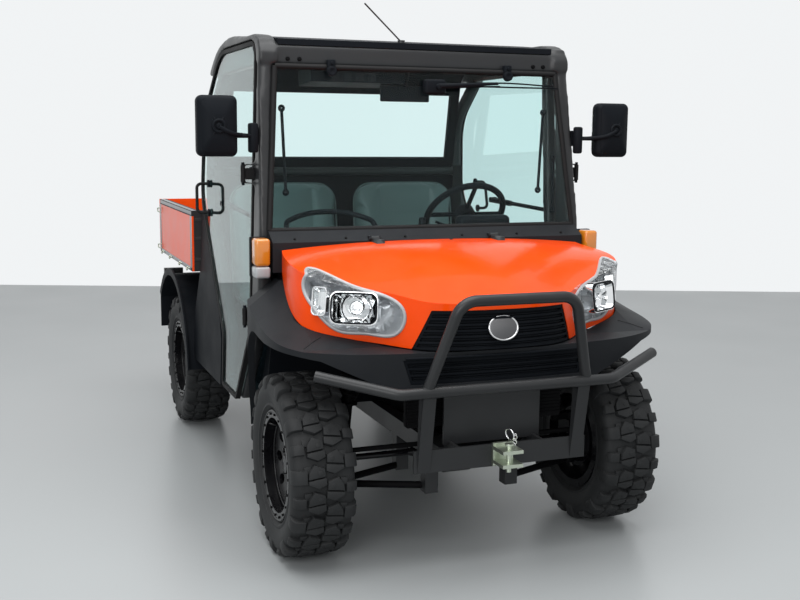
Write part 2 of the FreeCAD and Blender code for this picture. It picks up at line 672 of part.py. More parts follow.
def make_doors():
    """Each door: one curved pane in a rubber edge, two hinges and a loop handle."""
    middle = -(v.door_thick - v.pane_thick) / 2
    pane = extruded(inset(door_wire(middle), v.door_gap + v.gasket_width / 2 + v.fit_gap),
                    X * -v.pane_thick)
    outer = extruded(inset(door_wire(0), v.door_gap), X * -v.door_thick)
    hollow = extruded(inset(door_wire(OVERRUN), v.door_gap + v.gasket_width),
                      X * -(v.door_thick + OVERRUN * 2))
    groove = extruded(inset(door_wire(middle + v.fit_gap), v.door_gap + v.gasket_width / 2),
                      X * -(v.pane_thick + v.fit_gap * 2))
    gasket = outer.cut(hollow).cut(groove)
    pane = side_place(pane)
    gasket = side_place(gasket)
    hinges = []
    for z in (v.hinge_high_z, v.hinge_low_z):
        low = z - v.hinge_tall / 2
        knuckle = Part.makeCylinder(v.hinge_radius, v.hinge_tall, Vector(v.hinge_x, v.hinge_y, low))
        bore = Part.makeCylinder(v.hinge_radius / 2 + v.fit_gap, v.hinge_tall * 2,
                                 Vector(v.hinge_x, v.hinge_y, z - v.hinge_tall))
        face_x = side_x_at(z - v.hinge_tall / 3) + v.fit_gap
        strap_low, strap_high = z - v.hinge_tall / 3, z + v.hinge_tall / 3
        arm = box(face_x, v.hinge_x, v.hinge_y, v.hinge_y + v.hinge_radius, strap_low, strap_high)
        strap = box(face_x, face_x + v.pane_thick, v.hinge_y, v.hinge_y + v.hinge_tall, strap_low, strap_high)
        hinges.append(fuse([knuckle, arm, strap]).cut(bore))
    pane_out = v.fit_gap - (v.door_thick - v.pane_thick) / 2
    high_x, low_x = side_x_at(v.grip_high_z), side_x_at(v.grip_low_z)
    low_y = v.grip_y - v.grip_out / 2
    loop = tube([Vector(high_x + pane_out, v.grip_y, v.grip_high_z),
                 Vector(high_x + v.grip_out, v.grip_y, v.grip_high_z),
                 Vector(low_x + v.grip_out, low_y, v.grip_low_z),
                 Vector(low_x + pane_out, low_y, v.grip_low_z)], v.grip_radius, v.grip_radius * 3)
    fittings = Part.makeCompound([gasket] + hinges + [loop])
    for name, turn in (("left", False), ("right", True)):
        node("door_glass_" + name, mirrored(pane) if turn else pane)
        node("door_fittings_" + name, mirrored(fittings) if turn else fittings)


def glass_point(share, x=0, out=0):
    """A point on the windshield's outer face, from its foot (0) to its top (1)."""
    y = v.glass_low_y + (v.glass_top_y - v.glass_low_y) * share
    z = v.glass_low_z + (v.glass_top_z - v.glass_low_z) * share
    return Vector(x, y - out, z)


def rect_wire(x0, x1, y0, y1, z):
    return closed_lines([Vector(x0, y0, z), Vector(x1, y0, z), Vector(x1, y1, z), Vector(x0, y1, z)])


RAIL_TOP_SHARES = [
    (0.0, 0.357), (0.041, 0.693), (0.216, 0.879), (0.485, 1.0), (0.722, 0.914), (0.918, 0.407), (1.0, 0.0),
]


def roof_rail():
    """The left roof rail, an arched bar above the door."""
    along = (v.rail_front_top_y, v.rail_rear_top_y)
    up = (v.rail_end_z - v.side_foot_z, v.rail_crown_z - v.side_foot_z)
    crown = yz(spread(RAIL_TOP_SHARES, along, up))
    low_front = Vector(0, v.rail_front_top_y, crown[0].z - v.header_deep)
    low_rear = Vector(0, crown[-1].y - v.frame_wide * 1.5, crown[-1].z)
    wire = Part.Wire([smooth(crown), Part.makeLine(crown[-1], low_rear), Part.makeLine(low_rear, low_front),
                      Part.makeLine(low_front, crown[0])])
    bar = extruded(wire, X * -(v.door_thick + v.door_gap + v.frame_deep))
    doorway = extruded(door_wire(OVERRUN), X * -(v.door_thick + v.door_gap + OVERRUN))
    return bar.cut(doorway)


def hinge_lugs():
    """The lugs and pins on the left pillar that carry the door's hinges."""
    pieces = []
    for z in (v.hinge_high_z, v.hinge_low_z):
        reach = v.hinge_tall / 2 + v.fit_gap
        for low in (z - reach - v.plate_thick, z + reach):
            pieces.append(box(side_x_at(z) - v.plate_thick, v.hinge_x, v.hinge_y - v.hinge_radius,
                              v.hinge_y + v.hinge_radius, low, low + v.plate_thick))
            pieces.append(Part.makeCylinder(v.hinge_radius, v.plate_thick, Vector(v.hinge_x, v.hinge_y, low)))
        foot = Vector(v.hinge_x, v.hinge_y, z - reach)
        pieces.append(Part.makeCylinder(v.hinge_radius / 2, reach * 2, foot))
    return pieces


def make_cab_frame():
    """Both side frames, the front pillars, roof rails and the headers, welded together."""
    seat = v.door_thick + v.door_gap
    outer = extruded(inset(door_wire(-seat), v.door_gap), X * -v.frame_deep)
    inner = extruded(inset(door_wire(-seat + OVERRUN), v.door_gap + v.frame_wide),
                     X * -(v.frame_deep + OVERRUN * 2))
    ring = side_place(outer.cut(inner))
    rail = side_place(roof_rail())
    foot_z = v.hood_low_z
    foot_y = v.glass_low_y
    face_y = v.door_front_y - v.door_gap
    low_out = side_x_at(foot_z)
    top_z = v.door_top_z
    top_out = side_x_at(top_z)
    low = rect_wire(low_out - v.pillar_wide, low_out, foot_y, face_y, foot_z)
    top_front = glass_point((top_z - v.glass_low_z) / (v.glass_top_z - v.glass_low_z)).y
    sill_out = side_x_at(v.glass_low_z)
    middle = rect_wire(sill_out - v.pillar_wide, sill_out, foot_y, face_y, v.glass_low_z)
    high = rect_wire(top_out - v.pillar_wide, top_out, top_front, face_y + v.door_gap, top_z)
    post = Part.makeLoft([low, middle, high], True, True)
    # the pillar reaches back behind the door's front edge to the side frame
    tie = box(low_out - seat - v.frame_deep + v.door_gap, low_out - seat - v.door_gap, face_y - OVERRUN,
              v.door_front_y + v.frame_wide / 2, foot_z, foot_z + v.pillar_deep)
    half = fuse([ring, rail, post, tie] + hinge_lugs())
    head_low = v.glass_top_z + v.door_gap
    inner_x = side_x_at(v.glass_top_z) - v.pillar_wide / 2
    header = box(-inner_x, inner_x, v.glass_top_y, v.glass_top_y + v.header_deep, head_low,
                 head_low + v.header_high)
    cross_y = v.rear_wall_y - v.header_deep
    rear_bar = box(-inner_x, inner_x, cross_y, cross_y + v.header_deep - v.fit_gap,
                   v.rear_sill_z - v.header_deep, v.rear_sill_z)
    node("cab_frame", fuse([half, mirrored(half), header, rear_bar]))


def roof_panel():
    half = side_x_at(v.rail_crown_z) - v.door_thick - v.door_gap - v.frame_deep - v.fit_gap
    front_z = v.glass_top_z + v.door_gap + v.header_high
    y0 = v.glass_top_y
    crown = v.rail_crown_z - v.roof_thick
    top = [Vector(-half, y0, front_z + v.roof_thick), Vector(-half, y0 + v.pillar_deep * 2, crown),
           Vector(-half, 0, crown + v.roof_thick / 2),
           Vector(-half, v.rear_wall_y * 0.35, v.rail_crown_z - v.header_deep),
           Vector(-half, v.rear_wall_y * 0.72, v.rail_end_z)]
    low = [point - Z * v.roof_thick for point in top]
    wire = Part.Wire([smooth(top), Part.makeLine(top[-1], low[-1]), smooth(low[::-1]),
                      Part.makeLine(low[0], top[0])])
    return extruded(wire, X * half * 2)


def make_roof():
    """The roof panel between the rails."""
    node("roof", roof_panel())


def leaned_plate(low_y, low_z, high_y, high_z, low_half, high_half, thick):
    """A flat panel across the cab, thick towards the rear."""
    corners = [Vector(-low_half, low_y, low_z), Vector(low_half, low_y, low_z),
               Vector(high_half, high_y, high_z), Vector(-high_half, high_y, high_z)]
    run = Vector(0, high_z - low_z, low_y - high_y).normalize() * thick
    return extruded(closed_lines(corners), run)


def cab_inner(z):
    """Half the width between the side frames at a height."""
    return side_x_at(z) - v.door_thick - v.door_gap - v.frame_deep - v.fit_gap


def make_rear_wall():
    """Rear wall with the window opening, and its pane."""
    base_z = v.rail_low_z + v.rail_height + v.floor_thick + v.fit_gap
    y0 = v.rear_wall_y
    sill = v.rear_sill_z
    top_y, top_z = v.rear_wall_y * 0.72, v.rail_end_z - v.roof_thick
    lower = leaned_plate(y0, base_z, y0, sill, cab_inner(base_z), cab_inner(sill), v.wall_thick)
    upper = leaned_plate(y0, sill, top_y, top_z, cab_inner(sill), cab_inner(top_z), v.wall_thick)
    border = v.frame_wide
    slope_y, slope_z = top_y - y0, top_z - sill
    length = math.hypot(slope_y, slope_z)
    step_y, step_z = slope_y / length * border, slope_z / length * border

    def window(margin, back, thick):
        share = margin / border
        lift_y, lift_z = -step_z, step_y
        low_y = y0 + step_y * share - lift_y / border * back
        low_z = sill + step_z * share - lift_z / border * back
        high_y = top_y - step_y * share - lift_y / border * back
        high_z = top_z - step_z * share - lift_z / border * back
        return leaned_plate(low_y, low_z, high_y, high_z, cab_inner(sill) - margin,
                            cab_inner(top_z) - margin, thick)

    opening = window(border, -OVERRUN, v.wall_thick + OVERRUN * 2)
    middle = (v.wall_thick - v.pane_thick) / 2
    groove = window(border - v.pane_thick, middle - v.fit_gap, v.pane_thick + v.fit_gap * 2)
    pane = window(border - v.pane_thick + v.fit_gap, middle, v.pane_thick)
    node("rear_wall", fuse([lower, upper]).cut(opening).cut(groove))
    node("rear_window", pane)


def windshield_slab(out, thick):
    """A plate in the glass's outline, its back face in front of the pillars by a distance."""
    foot, head = glass_point(0, 0, out), glass_point(1, 0, out)
    corners = [foot - X * v.glass_low_x, foot + X * v.glass_low_x, head + X * v.glass_top_x,
               head - X * v.glass_top_x]
    return extruded(closed_lines(corners), Y * -thick)


def make_windshield():
    """The flat front glass, on the pillars' front faces."""
    node("windshield", windshield_slab(v.fit_gap, v.pane_thick))


def make_windshield_fittings():
    """Two round clamps on the top edge, and the wiper with its motor."""
    seat = windshield_slab(-v.header_deep, v.header_deep + v.pane_thick + v.fit_gap * 2)
    ear = v.clevis_ear
    head = glass_point(1)
    clamps = []
    for side in (-1, 1):
        place = Vector(side * v.glass_top_x * 0.635, head.y - v.pane_thick, head.z - v.hinge_radius * 2)
        clamps.append(rod(place, place - Y * ear * 1.5, v.hinge_radius * 2).cut(seat))
    motor_z = head.z - v.hinge_tall * 0.7
    motor_x = v.glass_top_x * 0.07
    face_y = glass_point((motor_z - v.glass_low_z) / (v.glass_top_z - v.glass_low_z)).y
    motor = box(motor_x - v.hinge_tall / 3, motor_x + v.hinge_tall, face_y - ear * 2.5, face_y - ear * 1.5,
                motor_z - ear, motor_z + ear)
    pivot = Vector(motor_x, face_y - ear * 2, motor_z)
    stub = rod(pivot, Vector(motor_x, face_y, motor_z), v.mirror_arm_radius)
    blade = rod(pivot, Vector(v.glass_top_x * 0.9, pivot.y, motor_z + ear), v.mirror_arm_radius / 2)
    wiper = fuse([motor, stub.cut(seat), blade])
    node("windshield_fittings", Part.makeCompound(clamps + [wiper]))


def floor_low_z():
    """Underside of the floor, on the frame's rails."""
    return v.rail_low_z + v.rail_height + v.fit_gap


def toe_y(z):
    """Rear face of the sloping toe board at a height."""
    share = (z - floor_low_z()) / (v.toe_top_z - floor_low_z())
    return v.floor_front_y + (v.toe_top_y - v.floor_front_y) * share


def make_floor():
    """Floor pan with the sloping toe board and the kick panels beside it."""
    low = floor_low_z()
    high = low + v.floor_thick
    half = cab_inner(high)
    top_half = cab_inner(v.toe_top_z)
    pan = box(-half, half, v.floor_front_y, v.rear_wall_y - v.fit_gap, low, high)
    corners = [Vector(-half, v.floor_front_y, low), Vector(half, v.floor_front_y, low),
               Vector(top_half, v.toe_top_y, v.toe_top_z), Vector(-top_half, v.toe_top_y, v.toe_top_z)]
    toe = extruded(closed_lines(corners), Y * -v.floor_thick)
    kick_top = v.dash_low_z - v.door_gap
    kick = [(v.floor_front_y, low), (v.floor_front_y + v.pillar_deep * 2, low),
            (v.floor_front_y, v.hood_low_z - v.pillar_deep), (toe_y(kick_top), kick_top),
            (toe_y(kick_top) - v.floor_thick / 2, kick_top)]
    side = extruded(closed_lines(yz(kick, top_half - v.floor_thick)), X * v.floor_thick)
    node("floor_pan", fuse([pan, toe, side, mirrored(side)]))


FLOOR_TOP = "Sizes.rail_low_z + Sizes.rail_height + Sizes.floor_thick + Sizes.fit_gap * 2"


def make_seats():
    """The box under the seats, two cushions and two backs."""
    base = doc.addObject("Part::Box", "seat_base")
    base.Label = "seat_base"
    base.setExpression("Length", "Sizes.cushion_wide * 2 + Sizes.seat_gap")
    base.setExpression("Width", "Sizes.rear_wall_y - Sizes.fit_gap - Sizes.seat_front_y")
    base.setExpression("Height", "Sizes.seat_base_z - (%s)" % FLOOR_TOP)
    base.setExpression("Placement.Base.x", "-Sizes.cushion_wide - Sizes.seat_gap / 2")
    base.setExpression("Placement.Base.y", "Sizes.seat_front_y")
    base.setExpression("Placement.Base.z", FLOOR_TOP)
    NODES.append(base)
    inner, outer = v.seat_gap / 2, v.seat_gap / 2 + v.cushion_wide
    back_low = v.seat_base_z + v.fit_gap
    top_rear = v.rear_wall_y - v.fit_gap - v.clevis_ear
    low_rear = top_rear - (v.back_top_z - back_low) * math.tan(math.radians(v.back_lean_deg))
    back = [(low_rear - v.back_thick, back_low), (low_rear, back_low), (top_rear, v.back_top_z),
            (top_rear - v.back_thick, v.back_top_z)]
    backrest = extruded(closed_lines(yz(back, inner)), X * v.cushion_wide)
    cushion = box(inner, outer, v.seat_front_y, low_rear - v.back_thick - v.fit_gap, back_low,
                  back_low + v.cushion_thick)
    node("seat_cushions", both_sides(cushion))
    node("seat_backs", both_sides(backrest))


def steer_normal():
    tilt = math.radians(v.steer_tilt_deg)
    return Vector(0, math.cos(tilt), math.sin(tilt))


def make_steering():
    """Steering wheel with three spokes, and its column out of the dashboard."""
    centre = Vector(v.steer_x, v.steer_y, v.steer_z)
    normal = steer_normal()
    rim = Part.makeTorus(v.wheel_rim_radius, v.wheel_rim_tube, ORIGIN, Z)
    hub = Part.makeCylinder(v.column_radius * 1.6, v.column_radius * 1.6, Z * -v.column_radius)
    spokes = []
    for degrees in (0, 180, 270):
        ahead = Rotation(Z, degrees).multVec(X)
        spokes.append(rod(ahead * v.column_radius, ahead * v.wheel_rim_radius, v.wheel_rim_tube * 0.7))
    wheel = fuse([rim, hub] + spokes)
    turn = Rotation(X, normal.cross(X), normal, "ZXY")
    wheel.Placement = Placement(centre, turn)
    node("steering_wheel", wheel)
    start = centre - normal * (v.column_radius + v.fit_gap)
    length = (v.steer_y - v.dash_rear_y) / normal.y + v.column_radius
    node("steering_column", rod(start, start - normal * (length - v.column_radius), v.column_radius))


def make_dashboard():
    """The dashboard across the cab, under the windshield."""
    deep = v.glass_low_y + v.fit_gap + v.door_gap
    outline = [(deep, v.toe_top_z + v.door_gap), (deep, v.dash_top_z),
               (v.dash_rear_y - v.pillar_deep, v.dash_top_z + v.door_gap),
               (v.dash_rear_y, v.dash_top_z - v.hinge_tall), (v.dash_rear_y, v.dash_low_z + v.pillar_deep),
               (v.dash_rear_y - v.pillar_deep, v.dash_low_z), (toe_y(v.dash_low_z) + v.fit_gap, v.dash_low_z),
               (v.toe_top_y + v.fit_gap, v.toe_top_z + v.door_gap)]
    half = cab_inner(v.dash_top_z) - v.fit_gap
    block = extruded(closed_lines(yz(outline, -half)), X * half * 2)
    centre = Vector(v.steer_x, v.steer_y, v.steer_z)
    normal = steer_normal()
    bore = rod(centre - normal * v.column_radius, centre - normal * v.steer_z, v.column_radius + v.fit_gap)
    node("dashboard", block.cut(bore))


def make_cowl():
    """The cowl strip between the hood and the windshield, with the fixed halves of the hood's hinges."""
    rear = v.glass_low_y - v.fit_gap
    front = v.hood_rear_y + v.shut_line
    outline = [(rear, v.glass_low_z), (rear - v.pane_thick * 2, v.glass_low_z),
               (front, v.hood_top_z), (front, v.hood_top_z - v.cowl_drop), (rear, v.hood_top_z - v.cowl_drop)]
    block = extruded(closed_lines(yz(outline, -v.hood_half)), X * v.hood_half * 2)
    half_wide = v.hood_hinge_wide / 2
    ear_in = half_wide + v.fit_gap
    ear_out = ear_in + v.plate_thick
    ears = []
    for side in (-1, 1):
        place = Vector(side * v.hood_hinge_x, v.hood_hinge_y, v.hood_hinge_z)
        room = rod(place - X * (half_wide + v.fit_gap), place + X * (half_wide + v.fit_gap),
                   v.hinge_radius + v.door_gap)
        block = block.cut(room)
        for x0, x1 in ((-ear_out, -ear_in), (ear_in, ear_out)):
            ears.append(box(place.x + x0, place.x + x1, front, place.y + v.hinge_radius * 2,
                            v.hood_top_z - v.hinge_radius, place.z + v.hinge_radius))
            ears.append(rod(place + X * x0, place + X * x1, v.hinge_radius * 0.75))
        ears.append(rod(place - X * ear_out, place + X * ear_out, v.hinge_radius / 2))
    node("cowl", fuse([block] + ears))


def hood_hinges():
    """The moving halves of the hood's hinges."""
    pieces = []
    half_wide = v.hood_hinge_wide / 2
    for side in (-1, 1):
        place = Vector(side * v.hood_hinge_x, v.hood_hinge_y, v.hood_hinge_z)
        eye = rod(place - X * half_wide, place + X * half_wide, v.hinge_radius)
        wide = X * v.hood_hinge_wide
        bore = rod(place - wide, place + wide, v.hinge_radius / 2 + v.fit_gap)
        strap = box(place.x - half_wide, place.x + half_wide, v.hood_rear_y - v.hinge_tall, place.y,
                    v.hood_top_z - v.hinge_radius * 1.2, place.z)
        pieces.append(fuse([eye, strap]).cut(bore))
    return pieces


# Front body

HOOD_PLAN_SHARES = [
    (0.95, 0.0), (0.989, 0.288), (0.95, 0.519), (0.763, 0.659), (0.56, 0.785), (0.4, 0.92), (0.2, 0.985),
    (0.0, 1.0),
]
HOOD_EDGE_SHARES = [(0.0, 0.656), (0.239, 0.438), (0.519, 0.17), (0.774, 0.03), (1.0, 0.0)]
HOOD_CROWN_SHARES = [
    (0.0, 1.0, 0.985, 0.90), (0.32, 0.95, 0.92, 0.84), (0.57, 0.84, 0.78, 0.73), (0.78, 0.69, 0.62, 0.53),
    (1.04, 0.46, 0.42, 0.28),
]
FASCIA_PLAN_SHARES = [
    (0.926, 0.0), (0.987, 0.202), (1.0, 0.379), (1.0, 0.619), (0.96, 0.789), (0.805, 0.907), (0.537, 0.97),
    (0.0, 1.0),
]
FASCIA_TOP_SHARES = [
    (-0.04, 0.69, 0.49), (0.25, 0.69, 0.45), (0.44, 0.58, 0.39), (0.66, 0.42, 0.34), (0.85, 0.30, 0.29),
    (1.04, 0.27, 0.27),
]
ARCH_SHARES = [(0.0, 0.0), (0.056, 0.214), (0.148, 0.393), (0.344, 0.714), (0.639, 0.929), (1.0, 1.0)]


def plan_prism(shares, half, y0, y1, low, high, shrink=0):
    """A block of the symmetric plan outline, between two heights."""
    span = (0, half - shrink), (y0, y1 + shrink)
    left = xy(spread(shares, *span), low)
    right = [Vector(-point.x, point.y, low) for point in reversed(left)]
    curve = smooth(left + right[1:])
    return extruded(Part.Wire([curve, Part.makeLine(right[-1], left[0])]), Z * (high - low))


def under_surface(sections, low):
    """The solid below a crowned surface, lofted through cross-sections along Y."""
    wires = []
    for points in sections:
        y = points[0].y
        first, last = Vector(points[0].x, y, low), Vector(points[-1].x, y, low)
        wires.append(Part.Wire([smooth(points), Part.makeLine(points[-1], last), Part.makeLine(last, first),
                                Part.makeLine(first, points[0])]))
    return Part.makeLoft(wires, True, False)


def hood_surface(drop):
    sections = []
    high_span = v.hood_top_z - v.hood_low_z
    for along, crown, crease, side in HOOD_CROWN_SHARES:
        y = v.hood_rear_y + (v.hood_nose_y - v.hood_rear_y) * along
        zs = [v.hood_low_z + high_span * share - drop for share in (crown, crease, side)]
        half, fold = v.hood_half * 1.02, v.hood_half * 0.44
        across = [(-half, zs[2]), (-fold, zs[1]), (0, zs[0]), (fold, zs[1]), (half, zs[2])]
        sections.append(xz(across, y))
    return under_surface(sections, v.hood_low_z - v.cowl_drop)


def hood_edge(lift, reach):
    """The space below the hood's lower edge, across the whole body."""
    span = (v.hood_rear_y, v.hood_nose_y), (v.hood_low_z + lift, v.hood_top_z + lift)
    edge = yz(spread(HOOD_EDGE_SHARES, *span), -v.fascia_half * 2)
    first = Vector(edge[0].x, edge[0].y + reach, edge[0].z)
    last = Vector(edge[-1].x, edge[-1].y - reach, edge[-1].z)
    low = v.hood_low_z - v.cowl_drop * 2
    corners = [last, Vector(last.x, last.y, low), Vector(first.x, first.y, low), first]
    ends = [Part.makeLine(first, edge[0]), smooth(edge), Part.makeLine(edge[-1], last)]
    wire = Part.Wire(ends + lines(corners))
    return extruded(wire, X * v.fascia_half * 4)


def hood_block(shrink, drop):
    plan = plan_prism(HOOD_PLAN_SHARES, v.hood_half, v.hood_rear_y, v.hood_nose_y, v.hood_low_z - v.cowl_drop,
                      v.hood_top_z + v.cowl_drop, shrink)
    return plan.common(hood_surface(drop))


# the lamp's outline seen from the front, as shares of its width and height
LAMP_SHARES = [
    (0.0, 0.46), (0.0, 0.15), (0.07, 0.01), (0.35, 0.0), (0.65, 0.03), (0.92, 0.40), (1.02, 0.80),
    (0.98, 1.0), (0.55, 0.83), (0.12, 0.62),
]


def lamp_pocket(grow, deep):
    """The left headlamp's outline, driven into the front of the hood."""
    spans = (v.lamp_in_x - grow, v.lamp_out_x + grow), (v.lamp_low_z - grow, v.lamp_high_z + grow)
    points = xz(spread(LAMP_SHARES, *spans), v.hood_nose_y)
    curve = Part.BSplineCurve()
    curve.interpolate(points, PeriodicFlag=True)
    return extruded(Part.Wire(curve.toShape()), Y * deep)


def make_front_body():
    """Hood shell with its hinges, the wraparound lamps and the upper grille."""
    wall = v.hood_wall
    skin = hood_block(0, 0).cut(hood_edge(0, v.cowl_drop))
    shell = skin.cut(hood_block(wall, wall))
    deep = v.hood_rear_y - v.hood_nose_y
    lamp_hole = lamp_pocket(v.fit_gap, deep * 0.75)
    face_hole = grille_block(v.fit_gap, v.hood_nose_y - wall * 2, v.hood_nose_y + deep * 0.35)
    hood = largest(shell.cut(lamp_hole).cut(mirrored(lamp_hole)).cut(face_hole))
    node("hood", fuse([hood] + hood_hinges()))
    lamp = lamp_pocket(0, deep * 0.75).common(skin).cut(hood_block(v.lamp_deep, v.lamp_deep))
    node("headlights", both_sides(largest(lamp)))
    face = grille_block(0, v.hood_nose_y - wall, v.hood_nose_y + deep * 0.3)
    block = face.common(hood_block(wall / 2, wall / 2)).cut(hood_block(wall + v.grille_deep, wall))
    block = block.cut(hood_edge(0, v.cowl_drop))
    border = v.grille_border
    slots = grille_slots(face, v.grille_half_low, v.grille_low_z + border, v.grille_top_z - border)
    back = hood_block(wall / 2 + v.slat_deep, wall / 2)
    node("grille_upper", largest(block.cut(slots.cut(back))))


def largest(shape):
    """The biggest solid of a shape, without the slivers beside it."""
    return max(shape.Solids, key=lambda solid: solid.Volume)


def grille_slots(face, half, low, high):
    """The openings between the slats, as bars across a grille's outline."""
    count = int((high - low + v.slat_thick) / v.slat_pitch)
    pitch = (high - low + v.slat_thick) / count
    bars = []
    for index in range(count):
        z = low + pitch * index
        bars.append(box(v.grille_border - half, half - v.grille_border, v.hood_nose_y, v.hood_rear_y, z,
                        z + pitch - v.slat_thick))
    inner = face.copy()
    share = 1 - v.grille_border / half
    narrower = FreeCAD.Matrix()
    narrower.scale(share, 1, 1)
    return Part.makeCompound(bars).common(inner.transformGeometry(narrower))


def grille_block(grow, y0, y1):
    """The upper grille's outline, as a prism along Y."""
    low, top = v.grille_half_low + grow, v.grille_half_top + grow
    low_z, top_z = v.grille_low_z - grow, v.grille_top_z + grow
    corners = xz([(-low, low_z), (low, low_z), (top, top_z), (-top, top_z)], y0)
    return extruded(closed_lines(corners), Y * (y1 - y0))


def fascia_block(shrink, drop):
    """The fender and bumper form, before the arches are opened."""
    plan = plan_prism(FASCIA_PLAN_SHARES, v.fascia_half, v.fascia_rear_y, v.fascia_nose_y, v.arch_low_z,
                      v.hood_top_z, shrink)
    sections = []
    rise = v.hood_top_z - v.fascia_low_z
    for along, inner, outer in FASCIA_TOP_SHARES:
        y = v.fascia_rear_y + (v.fascia_nose_y - v.fascia_rear_y) * along
        zi = v.fascia_low_z + rise * inner - drop
        zo = v.fascia_low_z + rise * outer - drop
        half, fold = v.fascia_half * 1.02, v.hood_half * 0.96
        points = [Vector(-half, y, zo), Vector(-fold, y, zi), Vector(0, y, zi), Vector(fold, y, zi),
                  Vector(half, y, zo)]
        low = v.arch_low_z - OVERRUN
        sections.append(closed_lines([Vector(-half, y, low)] + points + [Vector(half, y, low)]))
    return plan.common(Part.makeLoft(sections, True, True))


def arch_void(grow):
    """The left front wheel's space inside the fender, open at the bottom."""
    rear_y = v.fascia_rear_y - v.hood_wall + grow
    arch = yz(spread(ARCH_SHARES, (rear_y, v.arch_front_y), (v.arch_low_z, v.arch_top_z + grow)))
    ahead = Vector(0, v.fascia_nose_y + v.lamp_deep, v.arch_top_z - v.lip_high + grow)
    low_front = Vector(0, ahead.y, 0)
    low_rear = Vector(0, arch[0].y, 0)
    wire = Part.Wire([smooth(arch)] + lines([arch[-1], ahead, low_front, low_rear, arch[0]]))
    void = extruded(wire, X * v.fascia_half * 2)
    void.translate(X * v.bar_half)
    return void


def make_fascia():
    """Fenders and bumper moulding in one, with the lower grille's opening."""
    wall = v.hood_wall
    form = fascia_block(0, 0)
    hollow = fascia_block(wall, wall)
    arch = arch_void(0)
    lip = form.cut(fascia_block(v.flare_wide, 0)).common(arch_void(wall)).cut(arch)
    shut = v.shut_line
    hood_space = plan_prism(HOOD_PLAN_SHARES, v.hood_half + shut, v.hood_rear_y + shut, v.hood_nose_y - shut,
                            v.hood_low_z - v.cowl_drop, v.hood_top_z + v.cowl_drop)
    hood_space = hood_space.cut(hood_edge(-shut, v.cowl_drop))
    under = box(-v.bar_half, v.bar_half, v.hood_nose_y * 2, v.fascia_rear_y + OVERRUN, 0,
                v.fascia_low_z)
    corner = [(v.bar_half - OVERRUN, v.fascia_low_z), (v.bar_half - OVERRUN, 0), (v.fascia_half * 1.1, 0),
              (v.fascia_half * 1.1, v.arch_top_z), (v.lamp_out_x, v.arch_top_z - v.lip_high)]
    sweep = extruded(closed_lines(xz(corner, v.arch_front_y)), Y * v.hood_nose_y)
    behind = box(-v.kingpin_x, v.kingpin_x, v.glass_low_y - v.pillar_deep, 0, 0, v.hood_top_z)
    lug_low = v.hinge_low_z - v.hinge_tall / 2 - v.plate_thick - v.door_gap
    cab_side = box(-v.fascia_half, v.fascia_half, v.glass_low_y, 0, lug_low, v.hood_top_z)
    shell = fuse([form.cut(hollow), largest(lip), mirrored(largest(lip))])
    for tool in (arch, mirrored(arch), hood_space, under, sweep, mirrored(sweep), behind, cab_side):
        shell = shell.cut(tool)
    opening = lower_grille_block(v.fit_gap, v.hood_nose_y, v.fascia_nose_y + v.lamp_deep)
    shell = shell.cut(opening)
    node("fascia", shell)
    skin = fascia_block(wall, wall)
    core = fascia_block(wall + v.grille_deep, wall)
    face = lower_grille_block(0, v.hood_nose_y, v.fascia_nose_y + v.lamp_deep)
    border = v.grille_border
    slots = grille_slots(face, v.lower_grille_half, v.lower_grille_low_z + border,
                         v.lower_grille_top_z - border)
    back = fascia_block(wall + v.slat_deep, wall)
    node("grille_lower", largest(face.common(skin).cut(core).cut(slots.cut(back))))


def lower_grille_block(grow, y0, y1):
    top, low = v.lower_grille_top_z + grow, v.lower_grille_low_z - grow
    half = v.lower_grille_half + grow
    corners = xz([(-half * 0.92, low), (half * 0.92, low), (half, top), (-half, top)], y0)
    return extruded(closed_lines(corners), Y * (y1 - y0))


def make_bull_bar():
    """Bumper tube swept back at its ends, the hoop, and the straps down to the hitch plate."""
    half_path = [Vector(v.bar_end_x, v.bar_end_y, v.bar_end_z), Vector(v.bar_half, v.bar_y, v.bar_z)]
    path = half_path + [Vector(-point.x, point.y, point.z) for point in reversed(half_path)]
    bar = tube(path, v.bar_radius, v.bar_bend)
    foot = Vector(v.hoop_foot_x, v.hoop_foot_y, v.bar_z)
    head = Vector(v.hoop_top_x, v.hoop_top_y, v.hoop_top_z)
    hoop = tube([foot, head, Vector(-head.x, head.y, head.z), Vector(-foot.x, foot.y, foot.z)], v.bar_radius,
                v.bar_bend)
    strap = []
    front = v.hitch_y - v.hitch_thick
    for side in (-1, 1):
        x = side * v.strap_x
        corners = [(v.hitch_y, v.hitch_low_z), (front, v.hitch_low_z), (v.bar_y, v.bar_z),
                   (v.hitch_y - v.bar_radius, v.bar_z)]
        strap.append(extruded(closed_lines(yz(corners, x - v.strap_wide / 2)), X * v.strap_wide))
    plate = box(-v.hitch_half, v.hitch_half, front, v.hitch_y, v.hitch_low_z, v.hitch_high_z)
    guard_x, guard_y = v.rail_in_x + v.rail_width, v.rail_front_y - v.hitch_thick * 3
    guard = box(-guard_x, guard_x, guard_y - v.hitch_thick, guard_y, v.hitch_high_z - v.hitch_thick,
                v.guard_top_z)
    arms = []
    for side in (-1, 1):
        x0 = side * (v.rail_in_x + v.rail_width / 2) - v.clevis_ear / 2
        arms.append(box(x0, x0 + v.clevis_ear, v.hitch_y, v.rail_front_y - v.fit_gap, v.hitch_low_z,
                        v.hitch_high_z))
    node("bull_bar", fuse([bar, hoop, plate, guard] + strap + arms))


